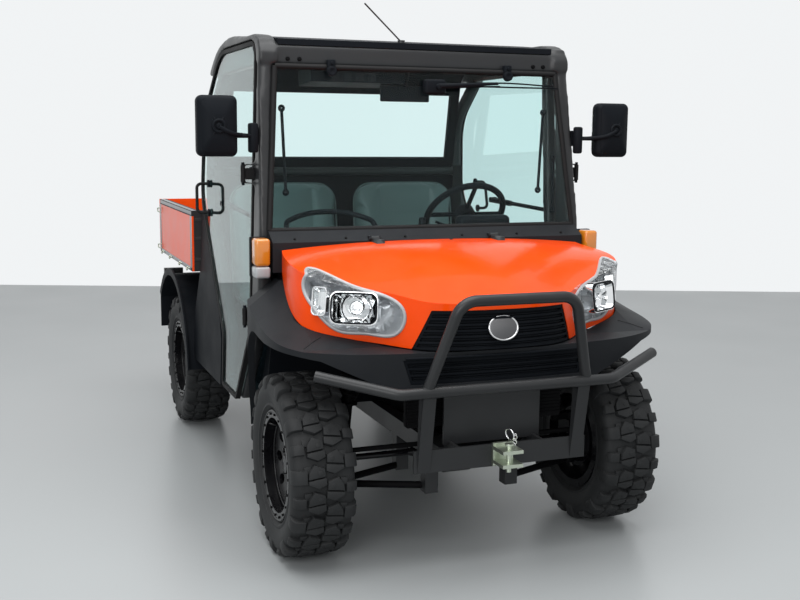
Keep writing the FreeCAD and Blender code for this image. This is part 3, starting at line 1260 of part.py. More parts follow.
def make_clevis():
    """The zinc-plated hitch clevis with its pin, on the front of the hitch plate."""
    face = v.hitch_y - v.hitch_thick - v.fit_gap
    middle = (v.hitch_low_z + v.hitch_high_z) / 2 + v.clevis_ear / 2
    half = v.clevis_wide / 2
    back = box(-half, half, face - v.clevis_ear, face, middle - v.clevis_gap, middle + v.clevis_gap)
    ears = []
    for side in (-1, 1):
        z = middle + side * v.clevis_gap * 0.6
        ears.append(box(-half, half, face - v.clevis_deep, face, z - v.clevis_ear / 2, z + v.clevis_ear / 2))
    pin_y = face - v.clevis_deep * 0.62
    pin_low = Vector(0, pin_y, middle - v.clevis_gap * 1.3)
    pin = Part.makeCylinder(v.clevis_pin_radius, v.clevis_gap * 2.4, pin_low)
    head_low = Vector(0, pin_y, middle + v.clevis_gap * 1.05)
    head = Part.makeCylinder(v.clevis_pin_radius * 1.7, v.clevis_ear / 2, head_low)
    node("hitch_clevis", fuse([back] + ears + [pin, head]))


def make_turn_lamps():
    """Amber over clear lamps on the front pillars."""
    rear = v.glass_low_y - v.fit_gap
    lamp = box(v.turn_x - v.turn_wide / 2, v.turn_x + v.turn_wide / 2, v.turn_front_y, rear, v.turn_low_z,
               v.turn_high_z)
    upright_edges = [edge for edge in lamp.Edges if abs(edge.BoundBox.ZLength) > v.turn_wide
                     and edge.BoundBox.YMin < v.turn_front_y + 1]
    node("turn_lamps", both_sides(lamp.makeFillet(v.turn_wide / 4, upright_edges)))


def make_mirrors():
    """A door mirror on a bent arm each side, fixed to the front pillars."""
    half = v.mirror_wide / 2
    low = v.mirror_z - v.mirror_high / 2
    shell = box(v.mirror_x - half, v.mirror_x + half, v.mirror_y - v.mirror_deep / 2,
                v.mirror_y + v.mirror_deep / 2, low, low + v.mirror_high)
    shell = shell.makeFillet(v.mirror_deep * 0.35, shell.Edges)
    z = v.mirror_foot_z
    pillar_x = side_x_at(z - v.hinge_tall / 2) + v.fit_gap
    foot_y = glass_point((z - v.glass_low_z) / (v.glass_top_z - v.glass_low_z)).y + v.pillar_deep * 0.3
    bracket = box(pillar_x, pillar_x + v.clevis_ear, foot_y - v.hinge_radius * 2, foot_y + v.hinge_radius * 2,
                  z - v.hinge_tall / 2, z + v.hinge_tall / 2)
    front_y = foot_y - v.hinge_tall
    arm_path = [Vector(pillar_x + v.clevis_ear / 2, foot_y, z), Vector(pillar_x + v.hinge_tall, front_y, z),
                Vector(v.mirror_x, front_y, z), Vector(v.mirror_x, v.mirror_y, z + v.hinge_tall)]
    arm_bar = tube(arm_path, v.mirror_arm_radius, v.mirror_arm_radius * 2)
    node("mirrors", both_sides(fuse([shell, bracket, arm_bar])))


def make_aerial():
    """The aerial's base and whip on the roof's front edge."""
    x = v.glass_top_x * -0.13
    base_y = v.glass_top_y + v.header_deep / 2
    base_z = v.glass_top_z + v.door_gap + v.header_high
    foot = Part.makeCylinder(v.hinge_radius * 1.6, v.roof_thick + v.clevis_ear, Vector(x, base_y, base_z))
    under = roof_panel()
    under.translate(Z * v.fit_gap)
    start = Vector(x, base_y, base_z + v.roof_thick + v.clevis_ear / 2)
    whip = rod(start, start + Vector(-0.62, -0.3, 0.44).normalize() * v.mast_long, v.mast_radius)
    node("aerial", fuse([largest(foot.cut(under)), whip]))


def make_console():
    """The overhead console behind the header, on the passenger's side."""
    rear_y = v.glass_top_y + v.header_deep + v.pillar_deep * 2
    y0 = v.glass_top_y + v.header_deep + v.fit_gap
    high = v.glass_top_z + v.door_gap + v.header_high * 0.6
    low = v.glass_top_z - v.hinge_tall
    outline = [(y0, high), (y0, low + v.clevis_ear), (rear_y, low), (rear_y, high)]
    side = yz(outline, -v.glass_top_x * 0.75)
    node("overhead_console", extruded(closed_lines(side), X * v.glass_top_x * 0.66))


# Side panels and rear body

SIDE_PANEL_SHARES = [
    (0.0, 0.0), (0.0, 0.264), (0.094, 0.433), (0.394, 0.701), (0.724, 1.0), (0.787, 1.0), (0.787, 0.639),
    (0.976, 0.333), (1.0, 0.042), (0.945, 0.0),
]


def make_side_panels():
    """The black panels between the doors and the rear wheels."""
    spans = (v.door_front_y * 0.1, v.bed_front_y * 1.15), (0, v.glass_low_z - v.side_foot_z)
    outline = yz(spread(SIDE_PANEL_SHARES, *spans))
    slab = extruded(closed_lines(outline), X * -(v.door_thick + v.door_gap - v.fit_gap))
    doorway = extruded(door_wire(OVERRUN), X * -(v.door_thick + v.door_gap + OVERRUN * 2))
    panel = side_place(slab.cut(doorway))
    radius = v.fender_radius + v.fender_wall + v.fit_gap
    arch = rod(at_hub(0, axle_y), at_hub(v.fascia_half * 2, axle_y), radius)
    node("side_panels", both_sides(largest(panel.cut(arch))))


def ring_sector(inner, outer, x0, x1, first_deg, last_deg):
    """Part of a ring about the rear axle, between two widths."""
    def place(radius, degrees):
        angle = math.radians(degrees)
        return Vector(x0, axle_y - math.cos(angle) * radius, v.tyre_radius + math.sin(angle) * radius)
    middle = (first_deg + last_deg) / 2
    edges = [
        Part.Arc(place(outer, first_deg), place(outer, middle), place(outer, last_deg)).toShape(),
        Part.makeLine(place(outer, last_deg), place(inner, last_deg)),
        Part.Arc(place(inner, last_deg), place(inner, middle), place(inner, first_deg)).toShape(),
        Part.makeLine(place(inner, first_deg), place(outer, first_deg)),
    ]
    return extruded(Part.Wire(edges), X * (x1 - x0))


FENDER_FRONT_DEG = 4
FENDER_REAR_DEG = 140


def make_rear_fenders():
    """Arched fenders over the rear wheels, with a rolled lip and a mud flap."""
    inner = v.fender_radius
    arch = ring_sector(inner, inner + v.fender_wall, v.fender_in_x, v.fender_out_x, FENDER_FRONT_DEG,
                       FENDER_REAR_DEG)
    lip = ring_sector(inner, inner + v.lip_high, v.fender_out_x - v.fender_wall, v.fender_out_x,
                      FENDER_FRONT_DEG, FENDER_REAR_DEG)
    angle = math.radians(FENDER_REAR_DEG)
    flap_y = axle_y - math.cos(angle) * (inner + v.fender_wall / 2)
    flap_z = v.tyre_radius + math.sin(angle) * (inner + v.fender_wall / 2)
    flap = box(v.fender_in_x, v.fender_out_x, flap_y - v.fender_wall / 2, flap_y + v.fender_wall / 2,
               flap_z - v.hinge_tall * 2.6, flap_z)
    side = fuse([arch, lip, flap])
    out_x = v.rail_in_x + v.rail_width + v.fit_gap
    reach = v.fender_in_x + v.fender_wall
    front_y = axle_y - inner - v.fender_wall
    front_bar = box(out_x, reach, front_y + v.fit_gap, front_y + v.hinge_radius * 2,
                    v.rail_low_z + v.clevis_ear, v.rail_low_z + v.clevis_ear * 2)
    rear_y0, rear_y1 = flap_y - v.lip_high, flap_y - v.fender_wall / 2
    leg = box(out_x, out_x + v.fender_wall, rear_y0, rear_y1, v.rail_low_z + v.rail_height / 2, flap_z)
    rear_bar = box(out_x, reach, rear_y0, rear_y1, flap_z, flap_z + v.clevis_ear)
    node("rear_fenders", both_sides(fuse([side, front_bar, leg, rear_bar])))


def make_bed():
    """Bed tub with its floor, headboard, walls and pivots, the painted panels outside, and the tailgate."""
    skin = v.panel_thick + v.fit_gap
    half = v.bed_half - skin
    rear = v.bed_rear_y - v.tailgate_thick - v.door_gap
    inner = half - v.bed_wall
    tub = box(-half, half, v.bed_front_y, rear, v.bed_low_z, v.bed_top_z)
    room = box(-inner, inner, v.bed_front_y + v.bed_wall, rear + OVERRUN, v.bed_low_z + v.bed_floor_thick,
               v.bed_top_z + OVERRUN)
    cap = box(inner, v.bed_half, v.bed_front_y, rear, v.bed_top_z - v.bed_wall, v.bed_top_z)
    node("bed_tub", fuse([tub.cut(room), cap, mirrored(cap)] + bed_pivots() + gate_lugs(rear) + rod_ears()))
    panel = box(half + v.fit_gap, v.bed_half, v.bed_front_y + v.fit_gap, rear, v.bed_low_z,
                v.bed_top_z - v.bed_wall - v.fit_gap)
    node("bed_sides", both_sides(panel))
    gate = box(-v.bed_half, v.bed_half, v.bed_rear_y - v.tailgate_thick, v.bed_rear_y,
               v.bed_low_z + v.clevis_ear, v.bed_top_z)
    barrels = []
    for side in (-1, 1):
        place = gate_hinge(side)
        wide = X * (v.gate_hinge_wide / 2)
        for end in (-1, 1):
            lug_x = place.x + end * (v.gate_hinge_wide / 2 + v.plate_thick / 2 + v.fit_gap)
            gate = gate.cut(box(lug_x - v.plate_thick, lug_x + v.plate_thick, v.bed_rear_y - v.tailgate_thick,
                                v.bed_rear_y, v.bed_low_z, place.z + v.hinge_radius * 1.6))
        barrels.append(rod(place - wide, place + wide, v.hinge_radius))
        barrels.append(rod(place - wide * 1.3, place + wide * 1.3, v.hinge_radius / 2))
    node("tailgate", fuse([gate] + barrels))


def gate_hinge(side):
    """Middle of a tailgate hinge."""
    return Vector(side * v.gate_hinge_x, v.bed_rear_y - v.tailgate_thick / 2, v.gate_hinge_z)


def gate_lugs(rear):
    """Bored lugs at the bed floor's rear edge, either side of each tailgate hinge barrel."""
    pieces = []
    for side in (-1, 1):
        place = gate_hinge(side)
        reach = v.gate_hinge_wide / 2 + v.fit_gap
        bore = rod(place - X * reach * 2, place + X * reach * 2, v.hinge_radius / 2 + v.fit_gap)
        for x0, x1 in ((-reach - v.plate_thick, -reach), (reach, reach + v.plate_thick)):
            arm = box(place.x + x0, place.x + x1, rear - v.bed_wall, place.y, v.bed_low_z,
                      place.z + v.hinge_radius / 2)
            eye = rod(place + X * x0, place + X * x1, v.hinge_radius)
            pieces.append(fuse([arm, eye]).cut(bore))
    return pieces


def bed_pivots():
    """The ears and pins under the bed, either side of the frame's pivot posts."""
    pieces = []
    inner, outer = v.rail_in_x - v.door_gap, v.rail_in_x + v.rail_width + v.door_gap
    for side in (-1, 1):
        for x0, x1 in ((inner - v.clevis_ear, inner), (outer, outer + v.clevis_ear)):
            low, high = sorted((side * x0, side * x1))
            pieces.append(box(low, high, v.bed_hinge_y - v.bar_radius, v.bed_hinge_y + v.bar_radius,
                              v.bed_hinge_z, v.bed_low_z))
            pieces.append(rod(Vector(low, v.bed_hinge_y, v.bed_hinge_z),
                              Vector(high, v.bed_hinge_y, v.bed_hinge_z), v.bar_radius))
        pieces.append(rod(Vector(side * (inner - v.clevis_ear), v.bed_hinge_y, v.bed_hinge_z),
                          Vector(side * (outer + v.clevis_ear), v.bed_hinge_y, v.bed_hinge_z), v.pin_radius))
    return pieces


def rod_ears():
    """The two ears under the bed that hold the lift rod's eye."""
    gap = v.rod_radius / 2 + v.fit_gap
    return [box(x, x + v.clevis_ear, v.rod_eye_y - v.bar_radius, v.rod_eye_y + v.bar_radius,
                v.rod_eye_z - v.bar_radius, v.bed_low_z)
            for x in (v.cylinder_x - gap - v.clevis_ear, v.cylinder_x + gap)]


def make_tail_lamps():
    """The tail lamps with their brackets, under the bed's rear corners."""
    y0 = v.bed_rear_y - v.lip_high * 2
    base_z = v.tyre_radius * 2 + v.lip_high
    lamp = box(v.half_track, v.half_track + v.turn_wide * 1.6, y0, y0 + v.hinge_radius * 3, base_z,
               base_z + v.turn_wide)
    beam = box(v.rail_in_x, v.half_track + v.turn_wide, y0 - v.fender_wall * 2, y0, base_z,
               base_z + v.lip_high)
    leg = box(v.rail_in_x, v.rail_in_x + v.fender_wall, y0 - v.fender_wall * 2, y0,
              v.rail_low_z + v.rail_height + v.fit_gap, base_z + v.lip_high)
    node("tail_lamps", both_sides(fuse([lamp, beam, leg])))


def make_lift():
    """The bed's lift cylinder on its frame bracket, and its rod up to the bed."""
    foot = Vector(v.cylinder_x, v.cylinder_foot_y, v.cylinder_foot_z)
    eye = Vector(v.cylinder_x, v.rod_eye_y, v.rod_eye_z)
    run = eye - foot
    one = run * (1 / run.Length)
    barrel_end = foot + run * BARREL_SHARE
    barrel = rod(foot + one * v.cylinder_radius, barrel_end, v.cylinder_radius)
    tongue = rod(foot, foot + one * v.cylinder_radius * 1.5, v.rod_radius * 0.9)
    trunnion = rod(foot - X * v.rod_radius, foot + X * v.rod_radius, v.rod_radius)
    pin_bore = rod(foot - X * v.cylinder_radius, foot + X * v.cylinder_radius, v.pin_radius + v.fit_gap)
    bore = rod(foot + one * v.cylinder_radius * 2, barrel_end + one * OVERRUN, v.rod_radius + v.fit_gap)
    node("lift_cylinder", fuse([barrel.cut(bore), trunnion, tongue]).cut(pin_bore))
    shoulder = eye - one * v.bar_radius * 2.5
    stem = rod(foot + one * v.cylinder_radius * 2.5, shoulder, v.rod_radius)
    neck = rod(shoulder, eye, v.rod_radius / 2.2)
    tip = rod(eye - X * (v.rod_radius / 2), eye + X * (v.rod_radius / 2), v.rod_radius)
    node("lift_rod", fuse([stem, neck, tip]))


BARREL_SHARE = 0.66


def make_drawbar():
    """The rear drawbar with its hitch pin hole, under the last crossmember."""
    high = v.rail_low_z - v.fit_gap
    thick = v.clevis_ear + v.sheet_wall
    bar = box(-v.lip_high, v.lip_high, v.rail_rear_y - v.cylinder_x, v.drawbar_rear_y, high - thick, high)
    hole_y = v.drawbar_rear_y - v.lip_high
    hole = Part.makeCylinder(v.drawbar_hole_radius, thick * 3, Vector(0, hole_y, high - thick * 2))
    node("drawbar", bar.cut(hole))


# Checks and export

MAKERS = [
    make_wheels, make_knuckles, make_front_suspension, make_front_axle, make_rear_axle,
    make_rear_suspension, make_engine, make_frame, make_skid_plate, make_doors, make_cab_frame,
    make_roof, make_rear_wall, make_windshield, make_windshield_fittings, make_floor, make_seats,
    make_steering, make_dashboard, make_cowl, make_front_body, make_fascia, make_bull_bar, make_clevis,
    make_turn_lamps, make_mirrors, make_aerial, make_console, make_side_panels, make_rear_fenders,
    make_bed, make_tail_lamps, make_lift, make_drawbar,
]


def check_and_export():
    """Stops on a failed object or an invalid shape, then writes each sub-part."""
    doc.recompute()
    for item in doc.Objects:
        if "Invalid" in item.State or "Error" in item.State:
            raise RuntimeError("%s is %s" % (item.Name, item.State))
    for piece in NODES:
        if piece.Shape.isNull() or not piece.Shape.isValid():
            raise RuntimeError("%s has no valid shape" % piece.Label)
    os.makedirs("parts", exist_ok=True)
    for piece in NODES:
        piece.Shape.exportStep(os.path.join("parts", piece.Label + ".step"))
    print("%d sub-parts" % len(NODES))


for maker in MAKERS:
    maker()
check_and_export()
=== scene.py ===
import json
import math

import bmesh
import bpy
from mathutils import Matrix, Vector
from mathutils.bvhtree import BVHTree


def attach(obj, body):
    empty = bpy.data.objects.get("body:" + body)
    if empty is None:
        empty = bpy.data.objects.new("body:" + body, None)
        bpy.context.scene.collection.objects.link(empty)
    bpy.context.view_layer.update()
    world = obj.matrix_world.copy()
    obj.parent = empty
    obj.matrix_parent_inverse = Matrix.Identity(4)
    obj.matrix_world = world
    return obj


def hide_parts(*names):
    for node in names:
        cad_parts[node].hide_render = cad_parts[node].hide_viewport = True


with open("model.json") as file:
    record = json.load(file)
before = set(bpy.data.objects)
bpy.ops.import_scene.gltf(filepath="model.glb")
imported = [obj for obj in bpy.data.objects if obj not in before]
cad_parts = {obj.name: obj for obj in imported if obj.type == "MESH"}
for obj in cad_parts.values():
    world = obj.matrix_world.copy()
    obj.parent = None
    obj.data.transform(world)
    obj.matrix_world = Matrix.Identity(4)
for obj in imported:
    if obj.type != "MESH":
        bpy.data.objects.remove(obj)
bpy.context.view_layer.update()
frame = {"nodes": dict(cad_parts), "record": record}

bl_info = {
    "name": "Side by side utility vehicle",
    "version": (1, 0, 0),
    "blender": (4, 5, 0),
    "location": "3D View > Sidebar > Utility Vehicle",
    "description": "Dresses the side by side utility vehicle: finishes, tyres, seats, lamps and trim",
    "category": "Object",
}

MM = 0.001
SLOT_OF = {part["node"]: part["material_slot"] for part in frame["record"]["subparts"]}
SHARP = math.radians(35)  # edges sharper than this are rounded and stay sharp in the shading
ROUND = math.pi  # no edge stays sharp in the shading
NEAR_AXIS = 0.5 * MM  # a turned outline ends this far from its axis
PIPE_STEPS = 8  # pieces of a pipe between two of its points


# Shared helpers for objects

def select_only(*items):
    """Selects these objects alone and makes the first one active."""
    bpy.ops.object.select_all(action="DESELECT")
    for item in items:
        item.select_set(True)
    bpy.context.view_layer.objects.active = items[0]


def settle(piece):
    """Puts a piece's place, turn and scale into its mesh."""
    select_only(piece)
    bpy.ops.object.transform_apply(location=True, rotation=True, scale=True)
    return piece


def modify(piece, kind, **settings):
    """Adds a modifier with these settings and applies it."""
    select_only(piece)
    bpy.ops.object.modifier_add(type=kind)
    modifier = piece.modifiers[-1]
    for name, value in settings.items():
        setattr(modifier, name, value)
    bpy.ops.object.modifier_apply(modifier=modifier.name)
    return piece


def smooth(piece, angle=SHARP):
    """Shades a piece smooth, apart from its sharp edges."""
    select_only(piece)
    bpy.ops.object.shade_smooth_by_angle(angle=angle)
    return piece


def join(name, *pieces):
    """Joins pieces into one object of this name."""
    select_only(*pieces)
    if len(pieces) > 1:
        bpy.ops.object.join()
    pieces[0].name = name
    return pieces[0]


def copy_of(piece, name, move=(0, 0, 0), turn=None):
    """Copies a piece with its own mesh, moved and turned in its mesh."""
    made = piece.copy()
    made.data = piece.data.copy()
    made.name = name
    bpy.context.scene.collection.objects.link(made)
    if turn is not None:
        made.data.transform(turn)
    made.data.transform(Matrix.Translation(move))
    return made


def mirrored(piece, name):
    """Copies a piece to the other side of the vehicle and turns its faces outwards again."""
    made = copy_of(piece, name)
    made.data.transform(Matrix.Scale(-1, 4, (1, 0, 0)))
    made.data.flip_normals()
    return made


def remove(*pieces):
    """Deletes helper objects."""
    for piece in pieces:
        bpy.data.objects.remove(piece)


def edit_all(piece):
    """Opens a piece for editing with everything selected."""
    select_only(piece)
    bpy.ops.object.mode_set(mode="EDIT")
    bpy.ops.mesh.select_all(action="SELECT")


def outward(piece, merge=1e-5):
    """Merges a piece's doubles and turns its faces outwards."""
    edit_all(piece)
    bpy.ops.mesh.remove_doubles(threshold=merge)
    bpy.ops.mesh.normals_make_consistent(inside=False)
    bpy.ops.object.mode_set(mode="OBJECT")
    return piece


def primitive(name, add, **shape):
    """A new piece from one of the add operators, with its place, turn and scale put into its mesh."""
    bpy.ops.object.select_all(action="DESELECT")
    add(**shape)
    piece = bpy.context.object
    piece.name = name
    return settle(piece)


def from_points(name, points, edges=(), faces=()):
    """A new object from points and what joins them."""
    mesh = bpy.data.meshes.new(name)
    mesh.from_pydata([Vector(point) for point in points], edges, faces)
    piece = bpy.data.objects.new(name, mesh)
    bpy.context.scene.collection.objects.link(piece)
    return piece


def softened(piece, bevel, segments=2):
    """Rounds a piece's sharp edges if it has a bevel, and shades it."""
    if bevel:
        modify(piece, "BEVEL", width=bevel, segments=segments, limit_method="ANGLE", angle_limit=SHARP)
    return smooth(piece)


def block(name, low, high, bevel=0.0, segments=2):
    """A block between two corners, with its edges rounded."""
    low, high = Vector(low), Vector(high)
    piece = primitive(name, bpy.ops.mesh.primitive_cube_add, size=1, location=(low + high) / 2, scale=high - low)
    return softened(piece, bevel, segments)


def rod(name, start, end, radius, end_radius=None, sides=20, bevel=0.0):
    """A round bar, or a cone with its own end radius, from one point to another."""
    start, end = Vector(start), Vector(end)
    along = end - start
    piece = primitive(
        name, bpy.ops.mesh.primitive_cone_add, vertices=sides, radius1=radius,
        radius2=radius if end_radius is None else end_radius, depth=along.length, location=(start + end) / 2,
        rotation=along.to_track_quat("Z", "Y").to_euler(),
    )
    return softened(piece, bevel)


def ring(name, middle, axis, radius, thick, sides=32, around=10):
    """A round ring about an axis."""
    piece = primitive(
        name, bpy.ops.mesh.primitive_torus_add, major_radius=radius, minor_radius=thick, major_segments=sides,
        minor_segments=around, location=middle, rotation=Vector(axis).to_track_quat("Z", "Y").to_euler(),
    )
    return smooth(piece, ROUND)


def pipe(name, points, radius, closed=False, around=3):
    """A round wire or tube along a smooth line through given points."""
    bpy.ops.object.select_all(action="DESELECT")
    bpy.ops.curve.primitive_bezier_curve_add()
    piece = bpy.context.object
    piece.name = name
    line = piece.data
    line.splines.clear()
    spline = line.splines.new("BEZIER")
    spline.bezier_points.add(len(points) - 1)
    for knot, point in zip(spline.bezier_points, points):
        knot.co = point
        knot.handle_left_type = knot.handle_right_type = "AUTO"
    spline.use_cyclic_u = closed
    line.dimensions = "3D"
    line.resolution_u = PIPE_STEPS
    line.bevel_depth = radius
    line.bevel_resolution = around
    line.use_fill_caps = True
    piece.location = (0, 0, 0)
    select_only(piece)
    bpy.ops.object.convert(target="MESH")
    return smooth(piece, math.radians(60))


def revolved(name, outline, middle, axis, steps=48, closed=False):
    """Spins an outline of (along the axis, from the axis) points about an axis."""
    axis = Vector(axis).normalized()
    setting = Matrix.Translation(middle) @ axis.to_track_quat("X", "Z").to_matrix().to_4x4()
    count = len(outline)
    edges = [(number, (number + 1) % count) for number in range(count if closed else count - 1)]
    piece = from_points(name, [setting @ Vector((along, 0, out)) for along, out in outline], edges)
    edit_all(piece)
    bpy.ops.mesh.spin(steps=steps, angle=math.tau, center=middle, axis=axis, use_auto_merge=True)
    bpy.ops.object.mode_set(mode="OBJECT")
    return smooth(outward(piece))


def merged_node(node, name):
    """A smooth-shaded copy of a rigid node, with its doubles merged."""
    piece = copy_of(frame["nodes"][node], name)
    piece.parent = None
    piece.matrix_world = Matrix.Identity(4)
    return smooth(outward(piece, 0.02 * MM), math.radians(30))


def place(piece, body, slot, material="", replaces=()):
    """Gives a finished piece its body and its material: its slot's finish, or the material named where it isn't the
    slot's own.
    """
    piece.data.materials.clear()
    piece.data.materials.append(bpy.data.materials[material] if material else finish(slot))
    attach(piece, body)
    if replaces:
        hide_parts(*replaces)
    return piece


def prism(name, outline, run, bevel=0.0, segments=2, taper=1.0):
    """A block: a closed outline of points pushed along a direction, its far end drawn in by a share."""
    piece = from_points(name, outline, faces=[list(range(len(outline)))])
    edit_all(piece)
    bpy.ops.mesh.extrude_region_move(TRANSFORM_OT_translate={"value": run})
    if taper != 1.0:
        bpy.ops.transform.resize(value=(taper, taper, taper))
    bpy.ops.object.mode_set(mode="OBJECT")
    return softened(outward(piece), bevel, segments)


def rounded_box(wide, high, radius, steps=5):
    """Corner points of a rounded rectangle about the origin, in X and Z."""
    points = []
    for x, z, start in ((1, 1, 0), (-1, 1, 90), (-1, -1, 180), (1, -1, 270)):
        for step in range(steps + 1):
            angle = math.radians(start + 90 * step / steps)
            points.append((x * (wide / 2 - radius) + math.cos(angle) * radius, 0.0,
                           z * (high / 2 - radius) + math.sin(angle) * radius))
    return points


def pick_faces(piece, test):
    """Selects the faces whose middle and normal pass a test."""
    select_only(piece)
    bpy.ops.object.mode_set(mode="EDIT")
    bpy.ops.mesh.select_mode(type="FACE")
    bpy.ops.mesh.select_all(action="DESELECT")
    bpy.ops.object.mode_set(mode="OBJECT")
    for face in piece.data.polygons:
        face.select = test(face.center, face.normal)
    bpy.ops.object.mode_set(mode="EDIT")


def drop_faces(piece, test):
    """Removes the faces that pass a test."""
    pick_faces(piece, test)
    bpy.ops.mesh.delete(type="FACE")
    bpy.ops.object.mode_set(mode="OBJECT")
    return piece


def dish(name, wide, high, deep, corner, lip):
    """A rounded box, open towards -Y, with a border round its recess, which narrows towards its floor."""
    outline = [(x, -deep / 2, z) for x, _, z in rounded_box(wide, high, corner)]
    piece = prism(name, outline, (0, deep, 0))
    facing_out, recess, narrow, sharp = -0.9, deep * 0.85, 0.7, math.radians(40)
    pick_faces(piece, lambda middle, normal: normal.y < facing_out)
    bpy.ops.mesh.inset(thickness=lip)
    bpy.ops.mesh.extrude_region_move(TRANSFORM_OT_translate={"value": (0, recess, 0)})
    bpy.ops.transform.resize(value=(narrow, 1, narrow))
    bpy.ops.object.mode_set(mode="OBJECT")
    return smooth(piece, sharp)


def aimed(piece, middle, ahead):
    """Moves a piece made facing -Y so that it faces another way at a place."""
    back = -Vector(ahead).normalized()
    side = back.cross(Vector((0, 0, 1))).normalized()
    piece.data.transform(Matrix.Translation(middle) @ Matrix((side, back, side.cross(back))).transposed().to_4x4())
    return piece


def draped(node, points, way, above=0.0002, fill=8):
    """A line laid on a node's surface. Each pair of points is filled in and dropped along the way."""
    mesh = frame["nodes"][node].data
    tree = BVHTree.FromPolygons([vertex.co for vertex in mesh.vertices], [face.vertices for face in mesh.polygons])
    points, way = [Vector(point) for point in points], Vector(way)
    run_up = 0.3  # how far before each point its ray starts
    laid = []
    for start, end in zip(points, points[1:]):
        for step in range(fill):
            spot, normal, _, _ = tree.ray_cast(start.lerp(end, step / fill) - way * run_up, way)
            if spot:
                laid.append(spot + normal * above)
    return laid


def around_axis(make, count, first=0.0):
    """Copies of a piece turned about the X axis."""
    return [copy_of(make, "%s_%d" % (make.name, number),
                    turn=Matrix.Rotation(first + math.tau * number / count, 4, "X")) for number in range(count)]


def both(piece, name):
    """A piece and its mirror image, in one object."""
    return join(name, piece, mirrored(piece, name + "_other"))


def pair(name, body, slot, *pieces, material="", replaces=()):
    """Joins pieces with their mirror image and places them."""
    return place(both(join(name, *pieces), name), body, slot, material, replaces)


def moved(piece, step):
    """Moves a piece in its mesh."""
    piece.data.transform(Matrix.Translation(step))
    return piece


def rail_of(piece, share, radius, name):
    """A tube along the longest open edge of a sheet, drawn towards its middle by a share."""
    shape = bmesh.new()
    shape.from_mesh(piece.data)
    bmesh.ops.remove_doubles(shape, verts=shape.verts, dist=0.4 * MM)
    open_edges = [edge for edge in shape.edges if len(edge.link_faces) == 1]
    longest = []
    while open_edges:
        path = list(open_edges.pop(0).verts)
        following = True
        while following:
            following = next((item for item in path[-1].link_edges if item in open_edges), None)
            if following:
                open_edges.remove(following)
                path.append(following.other_vert(path[-1]))
        longest = max(longest, [vertex.co.copy() for vertex in path], key=len)
    shape.free()
    middle = sum(longest, Vector()) / len(longest)
    kept = []
    for point in (spot.lerp(middle, share) for spot in longest):
        if all((point - other).length > 2 * radius for other in kept[:1] + kept[-1:]):
            kept.append(point)
    return pipe(name, kept, radius, closed=True)


def side_x(z):
    """The doors' outer face at a height: it leans in above the sill."""
    sill_x, sill_z, lean = 0.702, 0.42, math.radians(2)
    return sill_x - (z - sill_z) * math.tan(lean)


# Shader node groups

def add_node(tree, kind, inputs=None, **settings):
    """Adds a shader node, sets its options and fills or links its inputs."""
    made = tree.nodes.new(kind)
    for name, value in settings.items():
        setattr(made, name, value)
    for name, value in (inputs or {}).items():
        socket = made.inputs[name]
        if isinstance(value, bpy.types.NodeSocket):
            tree.links.new(value, socket)
        else:
            socket.default_value = value
    return made


def maths(tree, operation, first, second=0.0, clamp=False):
    """A math node's result."""
    return add_node(tree, "ShaderNodeMath", {0: first, 1: second}, operation=operation, use_clamp=clamp).outputs[0]


def bumped(tree, shader, distance, height, strength=1.0, **normal):
    """Raises a shader's surface by a height."""
    bump = add_node(tree, "ShaderNodeBump", {"Strength": strength, "Distance": distance, "Height": height, **normal})
    tree.links.new(bump.outputs["Normal"], shader.inputs["Normal"])


def place_in(tree):
    """The place of a shaded point in its object."""
    return add_node(tree, "ShaderNodeTexCoord").outputs["Object"]


def noise_in(tree, place_of, scale, detail):
    """A noise texture's value."""
    inputs = {"Vector": place_of, "Scale": scale, "Detail": detail}
    return add_node(tree, "ShaderNodeTexNoise", inputs).outputs["Fac"]


def spread(tree, value, low, high, to_low=0.0, to_high=1.0):
    """Maps a value from one range to another, held at the ends."""
    inputs = {"Value": value, "From Min": low, "From Max": high, "To Min": to_low, "To Max": to_high}
    return add_node(tree, "ShaderNodeMapRange", inputs, clamp=True).outputs["Result"]


def mixed(tree, factor, first, second):
    """A mix of two colours: sockets 6 and 7 of the node are the colours, and output 2 is their mix."""
    return add_node(tree, "ShaderNodeMix", {"Factor": factor, 6: first, 7: second}, data_type="RGBA").outputs[2]


def start_group(name, inputs, outputs):
    """A new node group with named inputs and outputs, and its two end nodes."""
    tree = bpy.data.node_groups.new(name, "ShaderNodeTree")
    for label, kind, value in inputs:
        socket = tree.interface.new_socket(name=label, in_out="INPUT", socket_type=kind)
        socket.default_value = value
    for label, kind in outputs:
        tree.interface.new_socket(name=label, in_out="OUTPUT", socket_type=kind)
    return tree, tree.nodes.new("NodeGroupInput"), tree.nodes.new("NodeGroupOutput")


def edge_group():
    """Rounds hard edges for the light, and marks them for wear."""
    tree, given, out = start_group(
        "Edges",
        (("Radius", "NodeSocketFloat", 1.5 * MM), ("Wear", "NodeSocketFloat", 0.3)),
        (("Normal", "NodeSocketVector"), ("Mask", "NodeSocketFloat")),
    )
    bevel = add_node(tree, "ShaderNodeBevel", {"Radius": given.outputs["Radius"]}, samples=4)
    surface = add_node(tree, "ShaderNodeNewGeometry")
    match = add_node(tree, "ShaderNodeVectorMath", operation="DOT_PRODUCT")
    tree.links.new(bevel.outputs["Normal"], match.inputs[0])
    tree.links.new(surface.outputs["Normal"], match.inputs[1])
    edge = spread(tree, match.outputs["Value"], 0.995, 0.85)
    broken = spread(tree, noise_in(tree, place_in(tree), 60.0, 3.0), 0.45, 0.62)
    mask = maths(tree, "MULTIPLY", maths(tree, "MULTIPLY", edge, broken), given.outputs["Wear"], True)
    tree.links.new(bevel.outputs["Normal"], out.inputs["Normal"])
    tree.links.new(mask, out.inputs["Mask"])
    return tree


